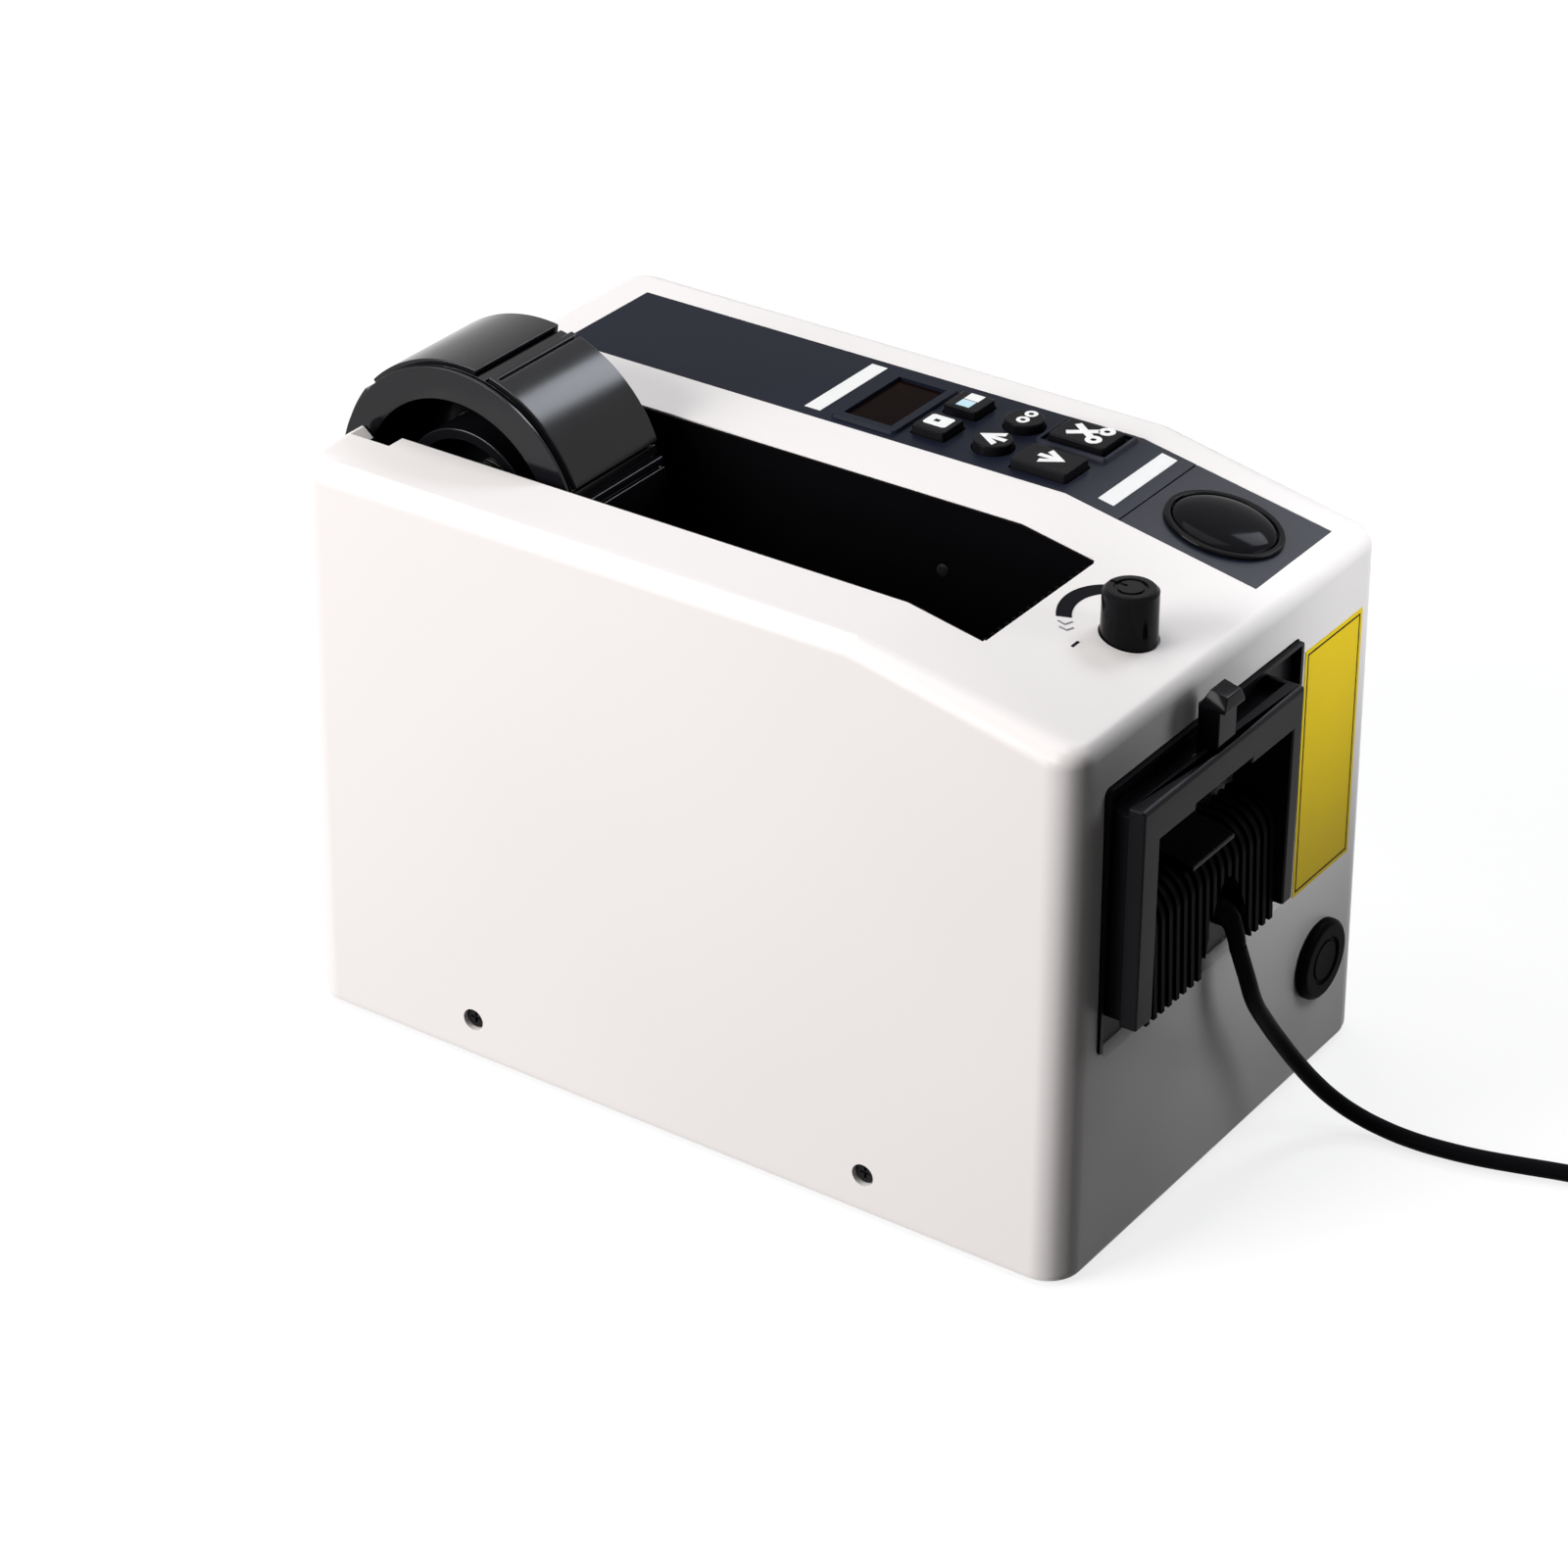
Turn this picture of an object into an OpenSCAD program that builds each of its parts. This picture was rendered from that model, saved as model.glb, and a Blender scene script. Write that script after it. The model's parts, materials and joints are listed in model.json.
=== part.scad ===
// Electric tape dispenser: a motor feeds packing tape off a rear reel and a blade cuts it at the front.
// +Z is up, the outlet faces -Y, the tape bay is on the -X side. The origin is on the ground, mid body.

/* [Housing] */
// Width of the housing at its base
body_w = 147.6; // [142:0.2:160]
// Length of the housing from front face to rear face
body_l = 233.6; // [228:0.2:250]
// Height of the housing above its base edge
body_h = 157; // [152:1:170]
// How much lower the top is at the front face
front_drop = 11.8; // [8:0.2:14]
// Length of the sloping part of the top
slope_l = 64; // [60:1:70]
// Thickness of the housing wall
wall = 2.5; // [2:0.1:3]
// Radius of the upright edges
corner_r = 9; // [7:0.5:12]
// Radius of the edges round the top
edge_r = 5; // [3:0.5:6]
// Draw-in of each side between base and top
draft = 1.3; // [0.6:0.1:1.6]
// Thickness of the steel base plate
base_t = 1.2; // [1:0.1:2]
// Height of the rubber feet
foot_h = 1.5; // [1:0.1:3]
// Diameter of the rubber feet
foot_d = 14; // [10:1:18]
// Distance of the feet from the sides
foot_inset = 16; // [14:1:24]

/* [Case screws] */
// Height of the screws above the ground
screw_z = 12.2; // [11:0.1:16]
// Distance of the front screws behind the front face
screw_front = 57.5; // [50:0.5:64]
// Distance of the rear screws in front of the rear face
screw_rear = 54.5; // [50:0.5:63]
// Diameter of the counterbore over a screw head
screw_bore = 6.2; // [5.8:0.1:7]
// Diameter of a screw head
screw_head = 5.4; // [5:0.1:5.6]
// Diameter of a screw shank
screw_d = 3; // [2.5:0.1:3.2]
// Length of the moulded screw posts inside the wall
post_l = 7; // [6:0.5:9]

/* [Tape bay] */
// Distance of the tape's middle from the left side
tape_side = 51; // [50:0.5:53]
// Clear width of the tape bay
slot_w = 48.4; // [46:0.2:50]
// Distance of the bay's front edge behind the front face
slot_front = 42.4; // [41:0.2:46]
// Height of the bay floor above the ground
bay_floor = 60; // [58:1:64]
// Wall thickness of the bay liner
liner_t = 2; // [1.6:0.1:2.4]
// Thickness of the lips that line the edges of the slot
lip_t = 0.8; // [0.6:0.1:1]

/* [Reel] */
// Diameter of the reel drum
reel_d = 75.4; // [74:0.2:76]
// Width of the reel drum
reel_w = 36; // [32:0.5:38]
// Distance of the reel axis in front of the rear face
reel_back = 31.8; // [30:0.2:36]
// Depth of the reel axis below the flat top
reel_drop = 16.9; // [15:0.2:19]
// Gap between the bay wall and the reel's near face
reel_inset = 2.7; // [2:0.1:5]
// Diameter of the reel axle
axle_d = 7.9; // [7:0.1:9]
// Length of the axle end in each cradle
axle_end = 5; // [4:0.2:6]
// Slant of the cradle grooves above level
groove_angle = 39.5; // [36:0.5:44]
// Number of spring grips round the drum
grip_n = 6; // [3:1:6]
// Angle that one grip covers
grip_angle = 54; // [48:1:56]
// Height of the grips above the drum
grip_rise = 1.3; // [1:0.1:1.6]

/* [Control panel] */
// Width of the control panel
panel_w = 37.2; // [36:0.2:41]
// Distance of the panel from the right side
panel_margin = 14.6; // [13:0.1:16]
// Distance of the panel's front edge behind the front face
panel_front = 9.5; // [8:0.5:11]
// Distance of the panel's rear edge in front of the rear face
panel_rear = 14.8; // [13:0.2:19]
// Length of the front panel that holds the start button
button_l = 38.8; // [37:0.2:42]
// Thickness of both panels
panel_t = 1.5; // [1.2:0.1:1.8]
// Width of the start ring
ring_w = 27.5; // [26:0.5:30]
// Length of the start ring
ring_l = 31.5; // [30:0.5:34]
// Thickness of the start ring
ring_t = 1.7; // [1.4:0.1:2.2]
// Height of the start ring above its panel
ring_rise = 1.2; // [0.8:0.1:2]
// Height of the start button above its panel
button_rise = 3; // [2:0.1:4]
// Side of the small square keys
key_small = 10.4; // [9:0.2:11]
// Diameter of the round keys
key_round = 11; // [9:0.2:11.4]
// Width of the large keys
key_large_w = 12; // [11:0.2:13]
// Length of the large keys
key_large_l = 17; // [15:0.2:18]
// Height of the keys above the panel
key_rise = 2.4; // [1.6:0.1:3]
// Travel of the keys
key_travel = 1; // [0.6:0.1:1.2]
// Width of the display window
display_w = 25.5; // [22:0.5:26.5]
// Length of the display window
display_l = 14.5; // [12:0.5:15.5]
// Sideways shift of the display and the start button from the panel's middle
face_shift = -0.8; // [-1.2:0.1:0.4]

/* [Outlet] */
// Width of the opening in the front wall
opening_w = 90.8; // [88:0.2:95]
// Height of the opening in the front wall
opening_h = 73; // [72.5:0.5:79]
// Height of the opening's lower edge above the ground
opening_z = 61; // [58:0.5:62]
// Width of the outlet hood
hood_w = 74; // [72:0.5:77]
// How far the hood stands out of the front face
hood_out = 9.5; // [8:0.5:12]
// Distance of the hood's top below the opening's upper edge
hood_margin = 2.8; // [2:0.2:4]
// Thickness of the hood's front rim, behind which its top steps down
hood_rim = 4.8; // [4:0.2:6]
// Height of the hood's lower end above the ground
hood_z = 71.5; // [68:0.5:74]
// Clear width of the outlet window
window_w = 62; // [58:0.5:63]
// Height of the bar over the window
bar_h = 10.3; // [9:0.1:12]
// Height of the chute's crest above the ground
chute_top = 100.5; // [98:0.5:101]
// Height of the chute's lower end above the ground
chute_z = 68; // [65:0.5:69]
// Number of ribs on the chute
rib_n = 18; // [12:1:22]
// Width of one chute rib
rib_w = 1.6; // [1.2:0.1:2]
// Width of the arch in the chute that the cord leaves by
arch_w = 23; // [22.5:0.5:25]
// Height of the arch's crown above the ground
arch_top = 90.3; // [90:0.1:92]
// Diameter of the round blanking plug in the front wall
plug_d = 22; // [20:0.5:25]

/* [Pressure knob] */
// Diameter of the knob
knob_d = 14; // [13.2:0.2:16]
// Height of the knob above the sloping top, at its middle
knob_h = 12.8; // [11:0.2:16]
// Distance of the knob's middle behind the front face
knob_front = 20.4; // [19.4:0.2:22]
// Distance of the knob's middle to the right of the tape's middle
knob_shift = 3.9; // [0:0.1:6]

/* [Feed] */
// Diameter of the feed roller
feed_d = 22; // [20:0.5:23]
// Diameter of the pressing roller
press_d = 12; // [10:0.5:13]
// Teeth of the feed gear
feed_teeth = 40; // [38:1:42]
// Teeth of a pinion
pinion_teeth = 12; // [11:1:13]
// Travel of the cutting blade
cut_travel = 12; // [10:0.5:13]

/* [Mains lead] */
// Diameter of the mains lead
cord_d = 5; // [4.6:0.1:5.2]
// Turns in each of the coil's two layers
coil_turns = 3; // [2:1:4]

/* [Hidden] */
$fn = 48;

// Clearances: a running fit on a radius, a gap between parts, and an overlap that makes cuts clean
fit = 0.05;
gap = 0.3;
cut = 1;

// Main planes
hw = body_w / 2;
hl = body_l / 2;
z_shell = foot_h + base_t;
z_top = foot_h + body_h;
slope = atan(front_drop / slope_l);
y_bend = slope_l - hl;
x_in = hw - wall - draft;

function top_z(y) = z_top - max(0, y_bend - y) * tan(slope);
function roof_z(y) = top_z(y) - wall / cos(slope);

// Tape bay and reel places
tape_x = tape_side - hw;
slot_x0 = tape_x - slot_w / 2;
slot_x1 = tape_x + slot_w / 2;
slot_y = slot_front - hl;
bay_rear = hl - wall - draft - gap;
reel_y = hl - reel_back;
reel_z = z_top - reel_drop;
reel_r = reel_d / 2;
reel_x0 = slot_x0 + reel_inset;
reel_x1 = reel_x0 + reel_w;
axle_r = axle_d / 2;
groove_r = axle_r + fit;
groove_l = 80;

// Panel places
panel_x1 = hw - panel_margin;
panel_x0 = panel_x1 - panel_w;
panel_x = (panel_x0 + panel_x1) / 2;
panel_y0 = panel_front - hl;
panel_y1 = hl - panel_rear;
joint_y = panel_y0 + button_l;
ledge = 2.5;
button_y = (panel_y0 + joint_y) / 2;
ring_a = ring_w / 2;
ring_b = ring_l / 2;

// Rows of the keypad, as distances behind the panel joint, and columns beside the panel's middle
row_large = 26.4;
row_round = 43.9;
row_small = 60.5;
row_display = 77.7;
col_small = 7.3;
col_large = 8.8;
key_flange = 0.8;
board_t = 1.6;
board_top = z_top - panel_t - key_flange - key_travel - 2 * gap;

// Outlet places
hood_shift = 0.4;
hood_x0 = tape_x - hood_w / 2 + hood_shift;
hood_x1 = tape_x + hood_w / 2 + hood_shift;
window_shift = 1.8;
window_x0 = tape_x - window_w / 2 + window_shift;
window_x1 = tape_x + window_w / 2 + window_shift;
opening_x0 = hood_x0 - 0.5;
opening_x1 = opening_x0 + opening_w;
opening_top = opening_z + opening_h;
hood_top = opening_top - hood_margin;
window_top = hood_top - bar_h;
plate_y = -hl + draft + 1.2;
flange_y = -hl + wall + draft + 0.1;
plate_back = flange_y + 2.5;
hood_y = -hl - hood_out;
chute_out = 8;
rib_rise = 1;
shelf_t = 4;
shelf_l = plate_back + 0.6 - plate_y;
arch_x = tape_x + 9.5;
latch_w = 8.2;
latch_d = 6;
latch_x = tape_x + 2.3;
latch_y = hood_y + 1.3 + latch_d / 2;

// Feed and cutter places
deck_t = 3;
deck_z = 54;
frame_t = 2.5;
frame_x0 = slot_x0 - liner_t - 1.3;
frame_x1 = slot_x1 + liner_t + 1.3;
frame_y0 = plate_back + 5.2;
frame_y1 = slot_y - liner_t - gap;
frame_top = 136;
feed_r = feed_d / 2;
press_r = press_d / 2;
feed_y = slot_y - 14.5;
feed_z = chute_top + 7.5 - feed_r;
press_z = feed_z + feed_r + press_r + gap;
shaft_r = 3;
tooth = 1;
gear_w = 6;
gear_x = frame_x1 + frame_t + 1.5;
mesh = tooth * (feed_teeth + pinion_teeth) / 2 + 0.15;
motor_r = 12;
motor_l = 36;
motor_x = gear_x + gear_w + 1.5;
motor_z = feed_z - mesh;
pivot_y = frame_y1 - 4;
pivot_z = press_z + 8;
pivot_r = 2;
arm_t = 2;
cut_y = plate_back + 2.6;
carriage_t = 2;
cut_x = frame_x0 - frame_t - 2.5;
cut_z = feed_z - 2;
cut_pitch = tooth * pinion_teeth / 2;

// Knob place
knob_x = tape_x + knob_shift;
knob_y = knob_front - hl;
knob_r = knob_d / 2;
well_r = knob_r + 0.4;
well_z = top_z(knob_y - well_r) - 0.6;
screw_r = 2.5;

// Cord route in millimetres: straight out of the gland, down to the ground and away to the coil
lead_at = [tape_x + 13.5, plate_y, 0];
gland_top = lead_at + [-0.7, 0, 80];
gland_end = lead_at + [4.2, -8.5, 66];
gland_axis = unit(gland_end - gland_top);
cord_route = concat([gland_end, gland_end + 2.5 * gland_axis], [for (p = [
    [6.5, -10.3, 56.5], [10, -10.8, 48], [16, -11.4, 39], [21.5, -12.5, 31], [27, -14.7, 22.5],
    [32, -17.7, 14.8], [36, -21.9, 8.6], [38.3, -27.5, 4.8], [39.2, -34.5, 3], [39.5, -42.5, 2.5],
    [40.3, -50.5, 2.5], [42.1, -59.5, 2.5], [45.1, -69.5, 2.5], [48.4, -79.5, 2.5], [51.4, -90.5, 2.5],
    [53.7, -102.5, 2.6], [55.1, -115.5, 3], [55.5, -127.5, 3.3], [55.5, -139.5, 3.3]]) lead_at + p]);
coil_step = 5.6;
coil_rise = 5.5;
coil_lift = 0.8;
coil_out = 36;
coil_c = [lead_at.x + 55.5 - coil_out, lead_at.y - 145.5];
plug_l = 38;
plug_w = 24;
plug_h = 16;

// A prism along X from an outline drawn in Y and Z
module along_x(x0, x1) {
    translate([x0, 0, 0]) rotate([90, 0, 90]) linear_extrude(x1 - x0) children();
}

// A box between two corners
module block(a, b) {
    translate(a) cube(b - a);
}

// A cylinder along X or Y from a start point
module rod_x(p, r, l) {
    translate(p) rotate([0, 90, 0]) cylinder(r = r, h = l);
}
module rod_y(p, r, l) {
    translate(p) rotate([-90, 0, 0]) cylinder(r = r, h = l);
}

// A rectangle with round corners, centred
module round_rect(w, l, r) {
    square([w - 2 * r, l], center = true);
    square([w, l - 2 * r], center = true);
    for (x = [-1, 1], y = [-1, 1]) translate([x * (w / 2 - r), y * (l / 2 - r)]) circle(r);
}

// Points of the top line between two places along Y, raised by dz
function top_line(y0, y1, dz) =
    y0 < y_bend && y1 > y_bend
    ? [[y0, top_z(y0) + dz], [y_bend, z_top + dz], [y1, top_z(y1) + dz]]
    : [[y0, top_z(y0) + dz], [y1, top_z(y1) + dz]];
function reverse(list) = [for (i = [len(list) - 1:-1:0]) list[i]];

// A slab that follows the top of the housing, between two depths measured from it
module roof_slab(x0, x1, y0, y1, dz0, dz1) {
    along_x(x0, x1) polygon(concat(top_line(y0, y1, dz0), reverse(top_line(y0, y1, dz1))));
}

// Puts a shape on the sloping top with its Z axis square to it
module on_slope(x, y) {
    translate([x, y, top_z(y)]) rotate([slope, 0, 0]) children();
}

// An ellipse drawn as points
module oval(a, b, n = 48) {
    polygon([for (i = [0:n - 1]) [a * cos(360 * i / n), b * sin(360 * i / n)]]);
}

// A closed skin over rings of points, with flat ends
module loft(rings) {
    n = len(rings[0]);
    m = len(rings);
    sides = [for (i = [0:m - 2], j = [0:n - 1])
        let (a = i * n + j, b = i * n + (j + 1) % n) [[a, a + n, b + n], [a, b + n, b]]];
    walls = [for (pair = sides, face = pair) face];
    start = [for (j = [1:n - 2]) [0, j, j + 1]];
    last = (m - 1) * n;
    end = [for (j = [1:n - 2]) [last, last + j + 1, last + j]];
    polyhedron([for (ring = rings, p = ring) p], concat(walls, start, end));
}

// Rings of a round tube along a route
function unit(v) = v / norm(v);
function heading(path, i) = unit(path[min(i + 1, len(path) - 1)] - path[max(i - 1, 0)]);
function tube_ring(p, t, side, r, n) =
    let (u = unit(cross(side, t)), v = cross(t, u))
    [for (j = [0:n - 1]) p + r * (cos(360 * j / n) * u + sin(360 * j / n) * v)];
function tube_rings(path, r, side, n) =
    [for (i = [0:len(path) - 1]) tube_ring(path[i], heading(path, i), side, r, n)];

// A spur gear outline with straight-flanked teeth
module gear_outline(teeth) {
    pitch_r = tooth * teeth / 2;
    root = pitch_r - 1.25 * tooth;
    tip = pitch_r + 0.8 * tooth;
    step = 360 / teeth;
    circle(root);
    for (i = [0:teeth - 1]) rotate(i * step) polygon([
        [root - 0.5, -0.95 * tooth], [root, -0.95 * tooth], [tip, -0.34 * tooth],
        [tip, 0.34 * tooth], [root, 0.95 * tooth], [root - 0.5, 0.95 * tooth]]);
}

// Cradle groove for the reel axle, open upwards to the rear
module axle_groove(x0, x1) {
    rod_x([x0, reel_y, reel_z], groove_r, x1 - x0);
    translate([x0, reel_y, reel_z]) rotate([groove_angle, 0, 0])
        translate([0, 0, -groove_r]) cube([x1 - x0, groove_l, 2 * groove_r]);
}

// The space below the roof, less a gap
module under_roof(g) {
    along_x(-hw, hw) polygon(concat(
        [[-hl + wall + draft + g, 0]],
        [[-hl + wall + draft + g, roof_z(-hl + wall + draft) - g]],
        [[y_bend, z_top - wall / cos(slope) - g], [bay_rear, z_top - wall / cos(slope) - g], [bay_rear, 0]]));
}

// Housing: one moulded shell with drawn-in sides, a sloping front top and round edges
module corner_puck(x, y, z) {
    translate([x, y, z]) rotate_extrude($fn = 24) intersection() {
        translate([corner_r - edge_r, 0]) circle(edge_r, $fn = 24);
        translate([0, -edge_r]) square([corner_r, 2 * edge_r]);
    }
}
module housing_skin() {
    front_tube = -hl + draft + edge_r;
    hull() for (x = [-1, 1]) {
        for (y = [-1, 1]) translate([x * (hw - corner_r), y * (hl - corner_r), z_shell])
            cylinder(r = corner_r, h = 1, $fn = 24);
        corner_puck(x * (hw - draft - corner_r), hl - draft - corner_r, z_top - edge_r);
        corner_puck(x * (hw - draft - corner_r), -hl + draft + corner_r,
            z_top - (y_bend - front_tube) * tan(slope) - edge_r / cos(slope));
        translate([x * (hw - draft - edge_r), y_bend + edge_r * tan(slope / 2), z_top - edge_r])
            sphere(edge_r, $fn = 24);
    }
}
module screw_places() {
    for (x = [-1, 1], y = [screw_front - hl, hl - screw_rear])
        translate([x * hw, y, screw_z]) rotate([0, -90 * x, 0]) children();
}
post_in = wall + draft + post_l;
sill_drop = 2.4;
module housing() color("ivory") difference() {
    union() {
        difference() {
            housing_skin();
            intersection() {
                along_x(-x_in, x_in) polygon([
                    [-hl + wall, z_shell - cut], [-hl + wall + draft, roof_z(-hl + wall + draft)],
                    [y_bend, z_top - wall / cos(slope)], [hl - wall - draft, z_top - wall / cos(slope)],
                    [hl - wall, z_shell - cut]]);
                linear_extrude(2 * body_h) round_rect(2 * x_in, body_l - 2 * wall, corner_r);
            }
        }
        screw_places() translate([0, 0, draft]) cylinder(d = screw_bore + 4, h = post_in - draft);
        intersection() {
            translate([knob_x, knob_y, well_z - wall]) cylinder(r = well_r + 2.5, h = 20);
            roof_slab(-hw, hw, -hl + wall, hl, -12, -wall / 2);
        }
    }
    screw_places() translate([0, 0, -cut]) cylinder(d = screw_bore, h = post_in - 3 + cut);
    screw_places() cylinder(d = screw_d + 0.4, h = post_in + cut);
    block([slot_x0, slot_y, bay_floor], [slot_x1, hl + cut, z_top + cut]);
    roof_slab(slot_x0 - lip_t - 0.1, slot_x1 + lip_t + 0.1, slot_y + 0.4, bay_rear - 0.2, -2 * wall, cut);
    axle_groove(slot_x0 - axle_end - 1.3, slot_x1 + axle_end + 1.3);
    roof_slab(panel_x0 - gap / 2, panel_x1 + gap / 2, panel_y0 - gap / 2, panel_y1 + gap / 2, -panel_t, cut);
    roof_slab(panel_x0 + ledge, panel_x1 - ledge, joint_y + ledge, panel_y1 - ledge, -2 * wall, 0);
    roof_slab(panel_x0 + ledge, panel_x1 - ledge, panel_y0 + ledge, joint_y - ledge, -2 * wall, 0);
    translate([(opening_x0 + opening_x1) / 2, -hl - cut, opening_z + opening_h / 2]) rotate([-90, 0, 0])
        linear_extrude(wall + draft + 2 * cut) round_rect(opening_w, opening_h, 2);
    along_x(opening_x0 + 2.6, opening_x1 - 2.6) polygon([
        [plate_y - 0.3, opening_z + cut], [plate_y - 0.3, opening_z - 0.2],
        [-hl - cut, opening_z - sill_drop - cut], [-hl - cut, opening_z + cut]]);
    translate([knob_x, knob_y, well_z]) cylinder(r = well_r, h = 20);
    translate([knob_x, knob_y, well_z - 2 * wall]) cylinder(r = screw_r + fit, h = 20);
    rod_y([plug_x, -hl - cut, plug_z], plug_stem_r + fit, 4 * wall);
    translate([switch_x, hl + cut, switch_z]) rotate([90, 0, 0])
        linear_extrude(4 * wall) square([switch_w, switch_h], center = true);
}

// Base plate: a steel sheet with four upright tabs that the case screws enter
tab_w = 12;
tab_t = 1.5;
feet_at = [for (x = [-1, 1], y = [-1, 1]) [x * (hw - foot_inset), y * (hl - foot_inset)]];
foot_stem = 2.5;
module base_plate() color("gainsboro") difference() {
    union() {
        translate([0, 0, foot_h]) linear_extrude(base_t)
            round_rect(body_w - 2 * gap, body_l - 2 * gap, corner_r);
        for (x = [-1, 1], y = [screw_front - hl, hl - screw_rear])
            block([x * (hw - post_in) - (x > 0 ? tab_t : 0), y - tab_w / 2, foot_h + base_t / 2],
                [x * (hw - post_in) + (x < 0 ? tab_t : 0), y + tab_w / 2, screw_z + tab_w / 2]);
    }
    screw_places() cylinder(d = screw_d + 2 * fit, h = post_in + 2 * tab_t);
    for (p = feet_at) translate([p.x, p.y, 0]) cylinder(r = foot_stem + fit, h = 3 * foot_h);
}
module rubber_feet() color("dimgray") for (p = feet_at) translate([p.x, p.y, 0]) rotate_extrude() polygon([
    [0, 0], [foot_d / 2 - 0.6, 0], [foot_d / 2, 0.6], [foot_d / 2 - 0.3, foot_h], [foot_stem, foot_h],
    [foot_stem, foot_h + base_t], [foot_stem + 0.8, foot_h + base_t], [foot_stem, foot_h + base_t + 1.6],
    [0, foot_h + base_t + 1.6]]);
module case_screws() color("dimgray") screw_places() difference() {
    union() {
        translate([0, 0, post_in - 3 - 2.2]) cylinder(d = screw_head, h = 2.2);
        translate([0, 0, post_in - 3 - 1]) cylinder(d = screw_d, h = 3 + tab_t + 2.5);
    }
    translate([0, 0, post_in - 3 - 2.2]) for (a = [0, 90]) rotate(a) cube([3.2, 0.7, 2], center = true);
}

// Tape bay: a trough open at the top and the rear, on two cross ribs that stand on the base plate. Its side walls end in
// lips that line the edges of the slot in the roof.
module bay_liner() color("black") difference() {
    union() {
        intersection() {
            union() {
                block([slot_x0 - liner_t, slot_y - liner_t, bay_floor - liner_t],
                    [slot_x1 + liner_t, bay_rear, z_top]);
                for (y = [slot_y + 30, reel_y - 20])
                    block([slot_x0, y - 2, z_shell], [slot_x1, y + 2, bay_floor]);
            }
            under_roof(0.1);
        }
        for (x = [slot_x0 - lip_t, slot_x1])
            roof_slab(x, x + lip_t, slot_y + 0.5, bay_rear - 0.3, -1.5 * wall, -0.3);
    }
    block([slot_x0, slot_y, bay_floor], [slot_x1, hl, z_top]);
    block([slot_x0 + 1, slot_y - 2 * liner_t, bay_floor + 20], [slot_x1 - 1, slot_y + cut, z_top]);
    axle_groove(slot_x0 - 2 * liner_t, slot_x1 + 2 * liner_t);
}

// Reel cradles: blocks outside the bay walls with a slanting groove for each axle end
module cradle(x0, x1, g0, g1) color("black") difference() {
    intersection() {
        block([x0, reel_y - 18, reel_z - 18], [x1, bay_rear, z_top]);
        under_roof(0.1);
    }
    axle_groove(g0, g1);
}
module cradle_left() {
    cradle(slot_x0 - liner_t - axle_end - 1, slot_x0 - liner_t, slot_x0 - axle_end - 1.3, slot_x0);
}
module cradle_right() {
    cradle(slot_x1 + liner_t, slot_x1 + liner_t + axle_end + 1, slot_x1, slot_x1 + axle_end + 1.3);
}

// Reel: a drum on a plain axle, with a hub sleeve and sprung grips that hold the tape's core
hub_r = 20;
hub_back = 3.8;
rim_t = 8.4;
grip_start = 14;
grip_lip = 2.8;
grip_groove = 1.3;
module reel_profile() {
    difference() {
        square([reel_r, reel_w]);
        translate([hub_r + fit, -cut]) square([reel_r - rim_t - hub_r - fit, 7 + cut]);
        translate([hub_r + fit, 6]) square([reel_r - 3 - hub_r - fit, 11]);
        translate([hub_r + fit, 20]) square([reel_r - 3 - hub_r - fit, reel_w]);
        translate([-cut, -cut]) square([hub_r + fit + cut, reel_w + 2 * cut]);
        translate([reel_r - 0.8, 0.9]) square([cut, 0.8]);
    }
}
module on_reel(x) {
    translate([x, reel_y, reel_z]) rotate([0, 90, 0]) children();
}
module grip_zone(r0, r1, a0, a1, l) {
    rotate_extrude(angle = a1 - a0, start = 180 + a0) translate([r0, 0]) square([r1 - r0, l]);
}
grip_seat = 1.4;
grip_margin = 2;
module reel_drum() color("black") on_reel(reel_x0) difference() {
    rotate_extrude() reel_profile();
    for (i = [0:grip_n - 1]) rotate(i * 360 / grip_n) translate([0, 0, grip_margin])
        grip_zone(reel_r - grip_seat, reel_r + cut, grip_start - 1.2, grip_start + grip_angle + 1.2, reel_w);
}
module reel_grip() {
    l = reel_w - grip_margin - gap;
    difference() {
        grip_zone(reel_r - grip_seat + fit, reel_r + grip_rise, grip_start, grip_start + grip_angle, l);
        translate([0, 0, 1.5]) grip_zone(reel_r + grip_rise - 1.1, reel_r + grip_rise + cut,
            grip_start + grip_lip, grip_start + grip_lip + grip_groove, l);
    }
}
module reel_grips() color("black") on_reel(reel_x0) for (i = [0:grip_n - 1])
    rotate(i * 360 / grip_n) translate([0, 0, grip_margin + gap]) reel_grip();
module reel_hub() color("black") on_reel(reel_x0 + hub_back) rotate_extrude() difference() {
    square([hub_r, reel_w - hub_back]);
    translate([-cut, -cut]) square([axle_r + fit + cut, reel_w + 2 * cut]);
    translate([axle_r + 4, -cut]) square([hub_r - axle_r - 7, 9 + cut]);
    translate([axle_r + 4, 14]) square([hub_r - axle_r - 7, reel_w]);
}
module reel_axle() color("silver") {
    rod_x([slot_x0 - axle_end, reel_y, reel_z], axle_r, slot_w + 2 * axle_end);
    rod_x([reel_x0 + hub_back - 2 - gap, reel_y, reel_z], axle_r + 1.5, 2);
    rod_x([reel_x1 + gap, reel_y, reel_z], axle_r + 1.5, slot_x1 - reel_x1 - 1);
}

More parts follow.
